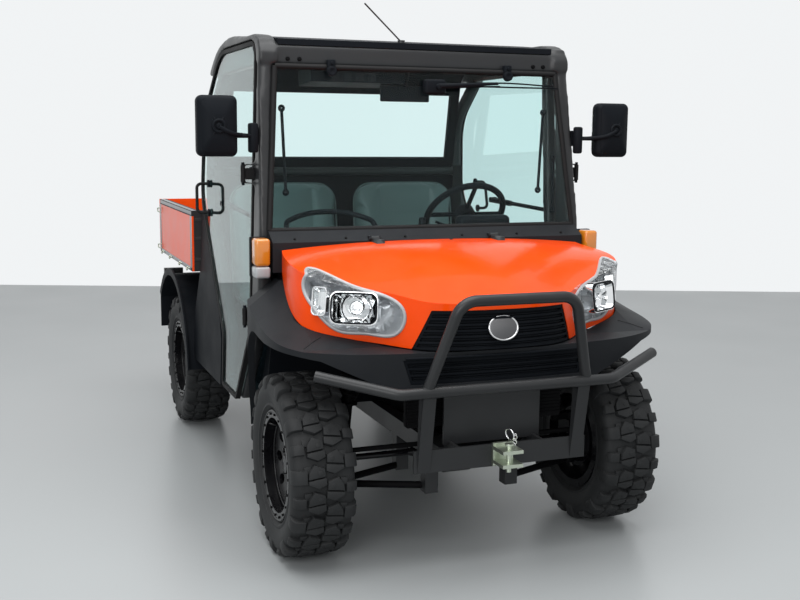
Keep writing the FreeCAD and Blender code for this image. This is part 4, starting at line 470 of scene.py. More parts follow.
def grain_group():
    """Fine moulded grain: small cells with soft noise between them."""
    tree, given, out = start_group(
        "Grain",
        (("Scale", "NodeSocketFloat", 900.0), ("Softness", "NodeSocketFloat", 0.5)),
        (("Height", "NodeSocketFloat"), ("Mask", "NodeSocketFloat")),
    )
    place_of, scale = place_in(tree), given.outputs["Scale"]
    cells = add_node(tree, "ShaderNodeTexVoronoi", {"Vector": place_of, "Scale": scale}, feature="SMOOTH_F1")
    height = maths(tree, "MULTIPLY", cells.outputs["Distance"], given.outputs["Softness"])
    height = maths(tree, "ADD", height, maths(tree, "MULTIPLY", noise_in(tree, place_of, scale, 3.0), 0.5))
    tree.links.new(height, out.inputs["Height"])
    tree.links.new(spread(tree, noise_in(tree, place_of, 7.0, 4.0), 0.3, 0.7), out.inputs["Mask"])
    return tree


def dust_group():
    """A thin film that settles on faces that look up, and low on the vehicle."""
    tree, given, out = start_group(
        "Dust",
        (("Amount", "NodeSocketFloat", 0.1), ("Low", "NodeSocketFloat", 0.0)),
        (("Mask", "NodeSocketFloat"),),
    )
    surface = add_node(tree, "ShaderNodeNewGeometry")
    facing = add_node(tree, "ShaderNodeSeparateXYZ", {"Vector": surface.outputs["Normal"]}).outputs["Z"]
    place_of = place_in(tree)
    height = add_node(tree, "ShaderNodeSeparateXYZ", {"Vector": place_of}).outputs["Z"]
    low = maths(tree, "MULTIPLY", spread(tree, height, 0.3, 0.0), given.outputs["Low"])
    settled = maths(tree, "MAXIMUM", spread(tree, facing, 0.2, 1.0), low)
    film = maths(tree, "MULTIPLY", settled, spread(tree, noise_in(tree, place_of, 14.0, 6.0), 0.35, 0.75))
    tree.links.new(maths(tree, "MULTIPLY", film, given.outputs["Amount"], True), out.inputs["Mask"])
    return tree


# Materials

DUST_COLOUR = (0.45, 0.43, 0.4, 1.0)
RUBBER_DUST_COLOUR = (0.2, 0.19, 0.18, 1.0)
WORN_BLACK = (0.12, 0.12, 0.12, 1.0)


def group_in(tree, name, **values):
    """Places a shared group in a material with its own values."""
    made = tree.nodes.new("ShaderNodeGroup")
    made.node_tree = bpy.data.node_groups[name]
    for label, value in values.items():
        made.inputs[label].default_value = value
    return made


def start_material(name):
    """A new material with a Principled surface, its node tree and its shader."""
    material = bpy.data.materials.new(name)
    material.use_nodes = True
    tree = material.node_tree
    return material, tree, tree.nodes["Principled BSDF"]


def set_plain(shader, **values):
    """Sets a shader's own sockets; underscores stand for spaces."""
    for name, value in values.items():
        shader.inputs[name.replace("_", " ")].default_value = value


def pick_shader(tree, share, first, second, end):
    """Mixes two shaders by a share and shows the mix at the end node."""
    pick = add_node(tree, "ShaderNodeMixShader", {0: share, 1: first.outputs[0], 2: second.outputs[0]})
    tree.links.new(pick.outputs[0], end.inputs["Surface"])


def shaded(colour, share):
    """A colour made darker or lighter by a share."""
    return tuple(min(1.0, part * share) for part in colour[:3]) + (1.0,)


def coated(name, colour, rough, drift, grain, scale, wear, dust, worn=None, radius=1.2 * MM, **values):
    """A painted, moulded or coated surface: tone and gloss drift, grain, worn edges and a film of dust."""
    material, tree, shader = start_material(name)
    edges = group_in(tree, "Edges", Radius=radius, Wear=wear)
    surface = group_in(tree, "Grain", Scale=scale)
    film = group_in(tree, "Dust", Amount=dust)
    base = mixed(tree, surface.outputs["Mask"], shaded(colour, 0.94), shaded(colour, 1.05))
    base = mixed(tree, edges.outputs["Mask"], base, worn or shaded(colour, 1.8))
    base = mixed(tree, film.outputs["Mask"], base, DUST_COLOUR)
    tree.links.new(base, shader.inputs["Base Color"])
    gloss = spread(tree, surface.outputs["Mask"], 0.0, 1.0, rough, rough + drift)
    gloss = maths(tree, "ADD", gloss, maths(tree, "MULTIPLY", film.outputs["Mask"], 0.5), clamp=True)
    tree.links.new(gloss, shader.inputs["Roughness"])
    bumped(tree, shader, grain, surface.outputs["Height"], Normal=edges.outputs["Normal"])
    set_plain(shader, **values)
    return material


def clear_material(name, colour, index):
    """Tinted glass. Its shadow, and the light that falls through it, has its tint."""
    material, tree, shader = start_material(name)
    film = group_in(tree, "Dust", Amount=0.02)
    grain = group_in(tree, "Grain", Scale=4.0)
    tree.links.new(mixed(tree, film.outputs["Mask"], colour, shaded(colour, 1.1)), shader.inputs["Base Color"])
    tree.links.new(spread(tree, grain.outputs["Mask"], 0.0, 1.0, 0.0, 0.004), shader.inputs["Roughness"])
    set_plain(shader, Transmission_Weight=1.0, IOR=index)
    path = add_node(tree, "ShaderNodeLightPath")
    light = maths(tree, "MAXIMUM", path.outputs["Is Shadow Ray"], path.outputs["Is Diffuse Ray"])
    through = add_node(tree, "ShaderNodeBsdfTransparent", {"Color": shaded(colour, 1.0)})
    pick_shader(tree, light, shader, through, tree.nodes["Material Output"])
    return material


def rubber_material(colours):
    """Tyre rubber: dark, dry, with fine grain, lighter worn edges and a trace of dust low down."""
    material, tree, shader = start_material("Tyre rubber")
    surface = group_in(tree, "Grain", Scale=1400.0)
    film = group_in(tree, "Dust", Amount=0.05, Low=0.6)
    edges = group_in(tree, "Edges", Radius=1.0 * MM, Wear=0.15)
    base = mixed(tree, surface.outputs["Mask"], shaded(colours.rubber, 0.8), shaded(colours.rubber, 1.25))
    base = mixed(tree, edges.outputs["Mask"], base, shaded(colours.rubber, 2.2))
    base = mixed(tree, film.outputs["Mask"], base, RUBBER_DUST_COLOUR)
    tree.links.new(base, shader.inputs["Base Color"])
    tree.links.new(spread(tree, surface.outputs["Mask"], 0.0, 1.0, 0.5, 0.68), shader.inputs["Roughness"])
    bumped(tree, shader, 0.12 * MM, surface.outputs["Height"], Normal=edges.outputs["Normal"])
    set_plain(shader, Specular_IOR_Level=0.2)
    return material


def vinyl_material(colours):
    """Seat vinyl: pebbled leather grain, painted shade that darkens its pits, and a soft sheen."""
    material, tree, shader = start_material("Vinyl upholstery")
    place_of = place_in(tree)
    pebble = add_node(tree, "ShaderNodeTexVoronoi", {"Vector": place_of, "Scale": 520.0}, feature="SMOOTH_F1")
    noise = noise_in(tree, place_of, 30.0, 5.0)
    pit_depth_and_shade = spread(tree, pebble.outputs["Distance"], 0.25, 0.75)
    tone = mixed(tree, noise, shaded(colours.vinyl, 0.86), shaded(colours.vinyl, 1.12))
    # Painted shade: each pit is darkened in step with its depth.
    tone = mixed(tree, maths(tree, "MULTIPLY", pit_depth_and_shade, 0.35), tone, shaded(colours.vinyl, 0.6))
    tree.links.new(tone, shader.inputs["Base Color"])
    tree.links.new(spread(tree, noise, 0.3, 0.7, 0.42, 0.55), shader.inputs["Roughness"])
    bumped(tree, shader, 0.4 * MM, maths(tree, "SUBTRACT", 1.0, pit_depth_and_shade), 0.6)
    set_plain(shader, Sheen_Weight=0.15, Sheen_Roughness=0.5)
    return material


def floor_material(sizes):
    """A pale sealed floor: faint mottling and soft reflections."""
    material, tree, shader = start_material("Floor")
    noise = noise_in(tree, place_in(tree), 1.3, 6.0)
    tone = mixed(tree, noise, shaded(sizes.floor_colour, 0.96), shaded(sizes.floor_colour, 1.04))
    tree.links.new(tone, shader.inputs["Base Color"])
    tree.links.new(spread(tree, noise, 0.3, 0.7, 0.3, 0.36), shader.inputs["Roughness"])
    return material


def make_materials():
    """Builds every finish once, named for its slot, and the few that stand for no slot."""
    colours = bpy.context.scene.utv_colours
    black = dict(worn=WORN_BLACK)
    # Slot, name, colour, roughness and its drift, grain's height in mm and scale, wear, dust, specular level, others
    rows = (
        ("orange_gloss", "Orange gloss", colours.orange, 0.2, 0.05, 0.01, 300.0, 0.0, 0.01, 0.12, dict(
            radius=2.0 * MM, Coat_Weight=0.15, Coat_Roughness=0.02)),
        ("orange_paint", "Orange paint", colours.orange, 0.3, 0.08, 0.03, 500.0, 0.2, 0.03, 0.25, dict(
            radius=1.5 * MM, Coat_Weight=0.2, Coat_Roughness=0.12)),
        ("frame_black", "Frame powder coat", colours.frame_black, 0.3, 0.1, 0.04, 1200.0, 0.1, 0.02, 0.3, black),
        ("cast_black", "Black enamel", colours.gloss_black, 0.2, 0.08, 0.02, 900.0, 0.1, 0.01, 0.1, dict(
            black, Coat_Weight=0.4, Coat_Roughness=0.03)),
        ("black_plastic", "Grained black plastic", colours.black_plastic, 0.42, 0.1, 0.08, 1100.0, 0.1, 0.01, 0.04,
         black),
        ("grey_plastic", "Grey plastic", colours.grey_plastic, 0.42, 0.12, 0.08, 1100.0, 0.15, 0.01, 0.1, {}),
        ("gasket_rubber", "Gasket rubber", (0.006, 0.006, 0.0065), 0.55, 0.15, 0.06, 800.0, 0.05, 0.02, 0.2, {}),
        ("bed_black", "Bed coating", (0.02, 0.02, 0.021), 0.5, 0.2, 0.5, 420.0, 0.3, 0.06, 0.25, black),
        ("rim_black", "Rim enamel", colours.gloss_black, 0.24, 0.1, 0.03, 900.0, 0.1, 0.01, 0.2, dict(
            black, Coat_Weight=0.3, Coat_Roughness=0.08)),
        ("suspension_steel", "Underbody black", (0.005, 0.005, 0.0055), 0.42, 0.15, 0.06, 700.0, 0.1, 0.01, 0.04,
         black),
        ("engine_metal", "Cast engine metal", (0.14, 0.14, 0.145), 0.5, 0.2, 0.5, 300.0, 0.4, 0.15, 0.5, dict(
            Metallic=0.8)),
        ("zinc_steel", "Yellow-green zinc", colours.zinc, 0.28, 0.14, 0.05, 500.0, 0.4, 0.06, 0.5, dict(
            worn=(0.6, 0.6, 0.56, 1.0), Metallic=0.95)),
        ("bright_rod", "Bright rod", (0.72, 0.72, 0.73), 0.12, 0.06, 0.01, 900.0, 0.1, 0.06, 0.5, dict(Metallic=1.0)),
        ("amber_lens", "Amber lens", colours.amber, 0.1, 0.04, 0.2, 260.0, 0.0, 0.02, 0.5, dict(
            Transmission_Weight=0.35, IOR=1.5, Coat_Weight=1.0)),
        ("red_lens", "Red lens", (0.5, 0.01, 0.008), 0.1, 0.04, 0.2, 260.0, 0.0, 0.02, 0.5, dict(
            Transmission_Weight=0.2, IOR=1.5, Coat_Weight=1.0)),
        ("", "Lamp bowl", (0.72, 0.74, 0.77), 0.3, 0.08, 0.0, 500.0, 0.0, 0.0, 0.5, dict(Metallic=0.55)),
        ("", "Lamp chrome", (0.86, 0.87, 0.88), 0.06, 0.03, 0.02, 500.0, 0.0, 0.0, 0.5, dict(Metallic=1.0)),
        ("", "Frosted rim", (0.52, 0.54, 0.56), 0.3, 0.06, 0.03, 700.0, 0.0, 0.0, 0.5, dict(
            Transmission_Weight=0.3, Coat_Weight=0.6, Coat_Roughness=0.05)),
        ("", "Bed rail", (0.3, 0.31, 0.32), 0.34, 0.1, 0.05, 600.0, 0.1, 0.03, 0.5, dict(Metallic=0.5)),
        ("", "Mirror glass", (0.9, 0.9, 0.9), 0.01, 0.01, 0.0, 500.0, 0.0, 0.02, 0.5, dict(Metallic=1.0)),
    )
    for slot, name, colour, rough, drift, grain, scale, wear, dust, specular, others in rows:
        material = coated(name, colour, rough, drift, grain * MM, scale, wear, dust, Specular_IOR_Level=specular,
                          **others)
        material["utv_slot"] = slot
    clear_material("Lamp lens", (0.97, 0.98, 0.98, 1.0), 1.3)["utv_slot"] = "lamp_lens"
    clear_material("Cab glass", colours.cab_glass, 1.18)["utv_slot"] = "clear_glass"
    clear_material("Door glass", colours.door_glass, 1.35)["utv_slot"] = "door_glass"
    rubber_material(colours)["utv_slot"] = "tyre_rubber"
    vinyl_material(colours)["utv_slot"] = "seat_vinyl"


def finish(slot):
    """The material made for a slot."""
    return next(material for material in bpy.data.materials if material.get("utv_slot") == slot)


# What a user can change

class UTV_PG_colours(bpy.types.PropertyGroup):
    """Colours of the paint, plastic, rubber and glass."""

    orange: bpy.props.FloatVectorProperty(
        name="Orange", description="Hood and bed panels", subtype="COLOR", size=4, min=0, max=1,
        default=(0.93, 0.072, 0.003, 1.0))
    frame_black: bpy.props.FloatVectorProperty(
        name="Frame black", description="Powder coat of the frame, cab and bull bar", subtype="COLOR", size=4,
        min=0, max=1, default=(0.021, 0.022, 0.0235, 1.0))
    gloss_black: bpy.props.FloatVectorProperty(
        name="Enamel black", description="Axles and rims", subtype="COLOR", size=4, min=0, max=1,
        default=(0.0035, 0.0035, 0.0045, 1.0))
    black_plastic: bpy.props.FloatVectorProperty(
        name="Black plastic", description="Roof, dashboard, rear fenders and trim", subtype="COLOR", size=4,
        min=0, max=1, default=(0.008, 0.0095, 0.012, 1.0))
    grey_plastic: bpy.props.FloatVectorProperty(
        name="Grey plastic", description="Cowl and front fenders", subtype="COLOR", size=4, min=0, max=1,
        default=(0.016, 0.0175, 0.02, 1.0))
    rubber: bpy.props.FloatVectorProperty(
        name="Rubber", description="Tyres", subtype="COLOR", size=4, min=0, max=1,
        default=(0.021, 0.022, 0.023, 1.0))
    vinyl: bpy.props.FloatVectorProperty(
        name="Vinyl", description="Seat covers", subtype="COLOR", size=4, min=0, max=1,
        default=(0.13, 0.17, 0.17, 1.0))
    zinc: bpy.props.FloatVectorProperty(
        name="Zinc plating", description="Clevis, rope hooks and latches", subtype="COLOR", size=4, min=0, max=1,
        default=(0.55, 0.6, 0.5, 1.0))
    amber: bpy.props.FloatVectorProperty(
        name="Amber", description="Turn lamps", subtype="COLOR", size=4, min=0, max=1,
        default=(1.0, 0.32, 0.02, 1.0))
    cab_glass: bpy.props.FloatVectorProperty(
        name="Cab glass", description="Tint of the windshield and the rear window", subtype="COLOR", size=4,
        min=0, max=1, default=(0.89, 0.99, 0.985, 1.0))
    door_glass: bpy.props.FloatVectorProperty(
        name="Door glass", description="Tint of the doors", subtype="COLOR", size=4, min=0, max=1,
        default=(0.72, 0.9, 0.89, 1.0))


class UTV_PG_stage(bpy.types.PropertyGroup):
    """Camera, floor and lamps."""

    camera_place: bpy.props.FloatVectorProperty(
        name="Camera place", description="Where the camera stands", subtype="TRANSLATION", unit="LENGTH",
        default=(-1.6432, -4.7371, 1.5103))
    camera_yaw: bpy.props.FloatProperty(
        name="Camera yaw", description="How far the view turns to the vehicle's left", unit="ROTATION",
        default=0.3635)
    camera_pitch: bpy.props.FloatProperty(
        name="Camera pitch", description="How far the view looks down", unit="ROTATION", default=0.1494)
    camera_roll: bpy.props.FloatProperty(
        name="Camera roll", description="How far the picture leans", unit="ROTATION", default=0.0091)
    camera_lens: bpy.props.FloatProperty(
        name="Lens", description="Focal length on a 36 mm film", unit="CAMERA", default=49.5)
    floor_half: bpy.props.FloatProperty(
        name="Floor half side", description="Half the side of the floor", unit="LENGTH", default=5.8)
    floor_colour: bpy.props.FloatVectorProperty(
        name="Floor", description="Colour of the floor", subtype="COLOR", size=4, min=0, max=1,
        default=(0.42, 0.44, 0.445, 1.0))
    wall_colour: bpy.props.FloatVectorProperty(
        name="Wall", description="Colour of the room around", subtype="COLOR", size=4, min=0, max=1,
        default=(0.88, 0.9, 0.91, 1.0))
    sky_strength: bpy.props.FloatProperty(
        name="Room light", description="Light that comes from all round", default=0.5, min=0)
    key_power: bpy.props.FloatProperty(
        name="Ceiling lamp power", description="Power of the wide lamp overhead", unit="POWER", default=190, min=0)
    fill_power: bpy.props.FloatProperty(
        name="Front lamp power", description="Power of the soft lamp by the camera", unit="POWER", default=90,
        min=0)


# Operators

class UTV_OT_finishes(bpy.types.Operator):
    """Gives every rigid part the finish of its slot"""

    bl_idname = "utv.finishes"
    bl_label = "Finishes"

    def execute(self, context):
        edge_group()
        grain_group()
        dust_group()
        make_materials()
        for name, node in frame["nodes"].items():
            node.data.materials.clear()
            node.data.materials.append(finish(SLOT_OF[name]))
        return {"FINISHED"}


WHEELS = (("fl", 1, -1), ("fr", -1, -1), ("rl", 1, 1), ("rr", -1, 1))  # corner, side and end
HALF_TRACK = 0.6026
HALF_BASE = 1.005
TYRE_RADIUS = 0.330
TREAD_PITCHES = 22  # centre blocks round a tyre, on each side
TREAD_FOOT = 0.305  # the radius at which the centre blocks start


def to_wheels(piece, name, slot, replaced=""):
    """Copies a piece made for a left wheel about the origin to all four wheels."""
    for corner, side, end in WHEELS:
        source = piece if side > 0 else mirrored(piece, "turned")
        made = copy_of(source, "%s_%s" % (name, corner), (side * HALF_TRACK, end * HALF_BASE, TYRE_RADIUS))
        if side < 0:
            remove(source)
        place(made, "wheel_" + corner, slot, replaces=(replaced + corner,) if replaced else ())
    remove(piece)


class UTV_OT_tyres(bpy.types.Operator):
    """Builds the off-road tyres: carcass, centre blocks and shoulder lugs"""

    bl_idname = "utv.tyres"
    bl_label = "Tyres"

    def execute(self, context):
        half = [(0.087, 0.1806), (0.087, 0.203), (0.094, 0.207), (0.1, 0.214), (0.1045, 0.216), (0.1045, 0.2205),
                (0.102, 0.225), (0.1075, 0.24), (0.1115, 0.257), (0.1125, 0.27), (0.111, 0.285), (0.106, 0.297),
                (0.097, 0.3055), (0.08, 0.3105), (0.04, 0.3135)]
        outline = [(-x, out) for x, out in half] + [(x, out) for x, out in reversed(half)]
        tyre = revolved("tyre", outline, (0, 0, 0), (1, 0, 0), steps=4 * TREAD_PITCHES, closed=True)
        centre = self.centre_blocks()
        long_lug = self.lug("long_lug", -0.024, 0.046, (
            (0.066, 0.300), (0.066, 0.3285), (0.086, 0.3275), (0.103, 0.3225), (0.1122, 0.311), (0.1148, 0.296),
            (0.1148, 0.279), (0.110, 0.270), (0.100, 0.280)))
        short_lug = self.lug("short_lug", -0.017, 0.034, (
            (0.070, 0.302), (0.070, 0.327), (0.088, 0.326), (0.105, 0.3195), (0.1125, 0.306), (0.108, 0.296)))
        tie = prism("tie", [(x, y, 0.306) for x, y in ((0.052, -0.011), (0.075, -0.014), (0.075, 0.010),
                                                       (0.050, 0.013))], (0, 0, 0.014), 0.0015)
        parts = [tyre]
        # Each kind with its count and its start in pitches, on the right side and on the left
        kinds = ((centre, TREAD_PITCHES, 0.5, 1.0), (long_lug, TREAD_PITCHES // 2, 0.5, 1.0),
                 (short_lug, TREAD_PITCHES // 2, 1.5, 2.0), (tie, TREAD_PITCHES, 0.25, 0.75))
        for side in (1, -1):
            for make, count, right, left in kinds:
                source = make if side > 0 else mirrored(make, "turned")
                parts += around_axis(source, count, math.tau / TREAD_PITCHES * (left if side > 0 else right))
                if side < 0:
                    remove(source)
        remove(centre, long_lug, short_lug, tie)
        to_wheels(join("tyre", *parts), "tyre_tread", "tyre_rubber", "tyre_")
        return {"FINISHED"}

    def centre_blocks(self):
        """The two slanted blocks beside the tyre's middle, with a stud on the rear one."""
        outlines = {
            "fore": ((-0.002, -0.030), (0.028, -0.042), (0.064, -0.026), (0.064, -0.014), (0.034, -0.010),
                     (0.0, -0.006)),
            "rear": ((0.002, -0.002), (0.036, -0.0065), (0.064, -0.0105), (0.061, 0.014), (0.042, 0.041),
                     (0.004, 0.026)),
        }
        blocks = [prism(name, [(x, y, TREAD_FOOT) for x, y in outline], (0, 0, 0.0245), 0.0018, taper=0.95)
                  for name, outline in outlines.items()]
        turns = [math.tau * number / 10 for number in range(10)]
        stud = prism("stud", [(0.022 + 0.009 * math.cos(turn), 0.011 + 0.009 * math.sin(turn), 0.3285)
                              for turn in turns], (0, 0, 0.0022), 0.0006)
        return join("centre", *blocks, stud)

    def lug(self, name, start, length, outline):
        """A shoulder lug: an outline across the tyre, pushed along its tread."""
        return prism(name, [(x, start, z) for x, z in outline], (0, length, 0), 0.0022)


class UTV_OT_rim_hardware(bpy.types.Operator):
    """Adds the rims' bolt rings, wheel nuts, hub caps and valves"""

    bl_idname = "utv.rim_hardware"
    bl_label = "Rim hardware"

    def execute(self, context):
        bolt = rod("bolt", (0.094, 0, 0.1855), (0.1005, 0, 0.1855), 0.005, sides=6, bevel=0.0007)
        bolts = around_axis(bolt, 20)
        nut = rod("nut", (0.036, 0, 0.056), (0.058, 0, 0.056), 0.0105, 0.0095, sides=6, bevel=0.001)
        nuts = around_axis(nut, 4, math.pi / 4)
        remove(bolt, nut)
        cap = revolved("cap", [(0.040, 0.036), (0.056, 0.036), (0.062, 0.032), (0.064, NEAR_AXIS)], (0, 0, 0),
                       (1, 0, 0), 40)
        bead = ring("bead", (0.0955, 0, 0), (1, 0, 0), 0.196, 0.0035, 80, 8)
        step = ring("step", (0.058, 0, 0), (1, 0, 0), 0.160, 0.004, 80, 8)
        valve = rod("valve", (0.06, 0.10, 0.118), (0.088, 0.108, 0.128), 0.004, bevel=0.0006)
        to_wheels(join("rim_hardware", cap, bead, step, valve, *nuts), "rim_trim", "rim_black")
        to_wheels(join("rim_bolts", *bolts), "rim_bolts", "suspension_steel")
        return {"FINISHED"}


CHANNEL_X = 0.13  # how far from a seat's middle its two long channels run
CHANNEL_HALF = 0.004  # half a channel's width
FOAM_CAP = 0.020  # how far the foam may swell
FOAM_PRESSURE = 4.0
FOAM_FRAMES = 20
WELT = 0.0035
BACK_MIDDLE = 0.29  # the height of a backrest's middle above its foot


def inflate(piece, held):
    """Swells a block like stuffed foam. The points in held stay where they are, and none moves past the cap."""
    modify(piece, "REMESH", mode="VOXEL", voxel_size=0.006)
    places = [vertex.co.copy() for vertex in piece.data.vertices]
    group = piece.vertex_groups.new(name="held")
    group.add([number for number, point in enumerate(places) if held(point)], 1.0, "REPLACE")
    select_only(piece)
    bpy.ops.object.modifier_add(type="CLOTH")
    cloth = piece.modifiers[-1]
    cloth.settings.use_pressure = True
    cloth.settings.uniform_pressure_force = FOAM_PRESSURE
    cloth.settings.effector_weights.gravity = 0.0
    cloth.settings.vertex_group_mass = "held"
    cloth.point_cache.frame_start = 1
    cloth.point_cache.frame_end = FOAM_FRAMES
    for number in range(1, FOAM_FRAMES + 1):
        bpy.context.scene.frame_set(number)
    bpy.ops.object.modifier_apply(modifier=cloth.name)
    bpy.context.scene.frame_set(1)
    for vertex, start in zip(piece.data.vertices, places):
        way = vertex.co - start
        if way.length > FOAM_CAP:
            vertex.co = start + way.normalized() * FOAM_CAP
    piece.vertex_groups.clear()
    return smooth(piece, ROUND)


def in_channel(x, along, crossings):
    """Whether a spot lies in a seat's long channels, or in a cross channel between them."""
    across = abs(x) < CHANNEL_X and min(abs(along - level) for level in crossings) < CHANNEL_HALF
    return abs(abs(x) - CHANNEL_X) < CHANNEL_HALF or across


class UTV_OT_seats(bpy.types.Operator):
    """Builds the stuffed seat cushions and backs with their channels and piping"""

    bl_idname = "utv.seats"
    bl_label = "Seats"

    def execute(self, context):
        lean = Matrix.Rotation(math.radians(-8), 4, "X")
        sources = (("cushion_", self.cushion(), (0.021, 0.7), None, "seat_cushions"),
                   ("backrest_", self.backrest(), (0.285, 0.703), lean, "seat_backs"))
        for label, x in (("left", 0.301), ("right", -0.301)):
            for name, source, (y, z), turn, node in sources:
                made = copy_of(source, name + label, (x, y, z), turn)
                place(made, "chassis", "seat_vinyl", replaces=(node,))
        remove(*(row[1] for row in sources))
        return {"FINISHED"}

    def cushion(self):
        """A seat cushion about its middle, with its welt."""
        cushion = block("cushion", (-0.252, -0.195, 0.018), (0.252, 0.195, 0.112), 0.03, 4)

        def held(point):
            top = point.z > 0.108 and abs(point.y) < 0.15
            return (top and in_channel(point.x, point.y, (0.06,))) or point.z < 0.022 or abs(point.z - 0.062) < 0.003

        inflate(cushion, held)
        edge = [(x, y, 0.062) for x, _, y in rounded_box(0.512, 0.398, 0.03)]
        return join("seat", cushion, pipe("welt", edge, WELT, closed=True))

    def backrest(self):
        """A backrest above its foot, upright, with its welt."""
        outline = [(x, -0.036, z + BACK_MIDDLE) for x, _, z in rounded_box(0.50, 0.565, 0.085, 6)]
        back = prism("back", outline, (0, 0.072, 0), 0.02, 4)

        def held(point):
            front = point.y < -0.033 and 0.05 < point.z < 0.54
            return (front and in_channel(point.x, point.z, (0.42, 0.20))) or point.y > 0.032 or abs(point.y) < 0.003

        inflate(back, held)
        edge = [(x, 0.0, z + BACK_MIDDLE) for x, _, z in rounded_box(0.508, 0.573, 0.089, 6)]
        return join("backrest", back, pipe("welt", edge, WELT, closed=True))


class UTV_OT_body(bpy.types.Operator):
    """Smooths the cab's frame and adds the hood's hinge covers, a rubber stop, screws and the fenders' seams"""

    bl_idname = "utv.body"
    bl_label = "Body"

    def execute(self, context):
        hinges = merged_node("hood", "hood_hinges")
        hinge_x, half_wide, front, foot = 0.25, 0.0152, -0.872, 1.095
        drop_faces(hinges, lambda middle, normal: abs(abs(middle.x) - hinge_x) > half_wide or middle.y < front
                   or middle.z < foot)
        modify(hinges, "DISPLACE", strength=0.0005, mid_level=0.0)
        place(hinges, "hood", "frame_black")
        frame_skin = merged_node("cab_frame", "cab_frame_skin")
        corner = pipe("corner", [(0.628, -0.624, 1.62), (0.624, -0.612, 1.74), (0.621, -0.598, 1.815),
                                 (0.618, -0.560, 1.848), (0.616, -0.500, 1.862)], 0.027)
        frame_skin = join("cab_frame_skin", frame_skin, both(corner, "corners"))
        modify(frame_skin, "REMESH", mode="VOXEL", voxel_size=0.007)
        modify(frame_skin, "SMOOTH", factor=0.5, iterations=12)
        place(smooth(frame_skin, ROUND), "chassis", "frame_black", replaces=("cab_frame",))
        dot = rod("dot", (0.055, -0.826, 1.100), (0.055, -0.826, 1.1125), 0.008, 0.006, bevel=0.0015)
        place(dot, "hood", "gasket_rubber")
        self.screws()
        self.seams()
        return {"FINISHED"}

    def screws(self):
        """Round heads along the header and the cowl."""
        heads = [rod("screw", (x, -0.624, 1.789), (x, -0.632, 1.789), 0.009, 0.007, bevel=0.0012)
                 for x in (0.495, 0.541)]
        heads += [rod("screw", (x, -0.775, 1.112), (x, -0.784, 1.123), 0.006, 0.005, bevel=0.001)
                  for x in (0.12, 0.36, 0.56)]
        pair("body_screws", "chassis", "suspension_steel", *heads)

    def seams(self):
        """The joint between each fender and the bumper moulding."""
        line = [(0.585, -1.195, 1.0), (0.625, -1.225, 1.0), (0.665, -1.26, 1.0)]
        pair("fender_seams", "chassis", "gasket_rubber", pipe("seam", draped("fascia", line, (0, 0, -1)), 0.0016))


class UTV_OT_headlamps(bpy.types.Operator):
    """Builds the headlamps: clear lens, frosted rim, bright box and bulb"""

    bl_idname = "utv.headlamps"
    bl_label = "Headlamps"

    def execute(self, context):
        lens = merged_node("headlights", "headlamp_lens")
        shell = copy_of(lens, "headlamp_shell")
        turned_ahead = -0.04  # faces whose normal is further ahead than this belong to the lens
        drop_faces(lens, lambda middle, normal: normal.y > turned_ahead)
        drop_faces(shell, lambda middle, normal: normal.y < turned_ahead)
        rims = []
        for side in (1, -1):
            sheet = copy_of(lens, "sheet")
            drop_faces(sheet, lambda middle, normal: middle.x * side < 0)
            rims.append(rail_of(sheet, 0.03, 0.0065, "rim"))
            remove(sheet)
        modify(lens, "SOLIDIFY", thickness=0.0025, offset=-1.0)
        place(smooth(lens), "hood", "lamp_lens", replaces=("headlights",))
        modify(shell, "SOLIDIFY", thickness=0.0015, offset=-1.0)
        place(smooth(shell), "hood", "grey_plastic", "Lamp bowl")
        place(join("headlamp_rims", *rims), "hood", "lamp_lens", "Frosted rim")
        facing = Vector((0.52, -0.84, 0.12)).normalized()
        middle = Vector((0.472, -1.232, 0.925))
        box = dish("box", 0.168, 0.112, 0.05, 0.026, 0.007)
        bulb = rod("bulb", (0, 0.016, 0), (0, -0.012, 0), 0.014, 0.011, bevel=0.003)
        bowl = revolved("bowl", [(-0.012, 0.052), (0.006, 0.046), (0.016, 0.030), (0.020, 0.012), (0.021, NEAR_AXIS)],
                        (0, 0, 0), (0, 1, 0), 14)
        small = dish("small", 0.062, 0.10, 0.03, 0.016, 0.004)
        bright = aimed(join("bright", box, bowl, bulb), middle, facing)
        aimed(small, middle + Vector((0.098, 0.075, 0.018)), (0.8, -0.6, 0.12))
        pair("headlamp_boxes", "hood", "bright_rod", bright, small, material="Lamp chrome")
        line = moved(pipe("line", rounded_box(0.156, 0.100, 0.024), 0.0032, closed=True), (0, -0.027, 0))
        pair("headlamp_lines", "hood", "black_plastic", aimed(line, middle, facing))
        return {"FINISHED"}


class UTV_OT_small_lamps(bpy.types.Operator):
    """Builds the amber and clear turn lamps and the tail lamps' lenses"""

    bl_idname = "utv.small_lamps"
    bl_label = "Small lamps"

    def execute(self, context):
        amber = block("amber", (0.659, -0.812, 1.026), (0.717, -0.742, 1.128), 0.012, 4)
        pair("turn_lamps_amber", "chassis", "amber_lens", amber, replaces=("turn_lamps",))
        clear = block("clear", (0.659, -0.811, 0.981), (0.717, -0.742, 1.0245), 0.010, 4)
        pair("turn_lamps_clear", "chassis", "lamp_lens", clear, material="Frosted rim")
        base = block("base", (0.656, -0.745, 0.980), (0.720, -0.7205, 1.129), 0.004)
        inner = block("inner", (0.674, -0.785, 1.04), (0.702, -0.748, 1.112), 0.006)
        pair("turn_lamp_bases", "chassis", "black_plastic", base, inner)
        place(merged_node("tail_lamps", "tail_lamp_housings"), "chassis", "frame_black", replaces=("tail_lamps",))
        lens = block("lens", (0.606, 1.4545, 0.702), (0.700, 1.4605, 0.754), 0.003)
        pair("tail_lenses", "chassis", "red_lens", lens)
        return {"FINISHED"}


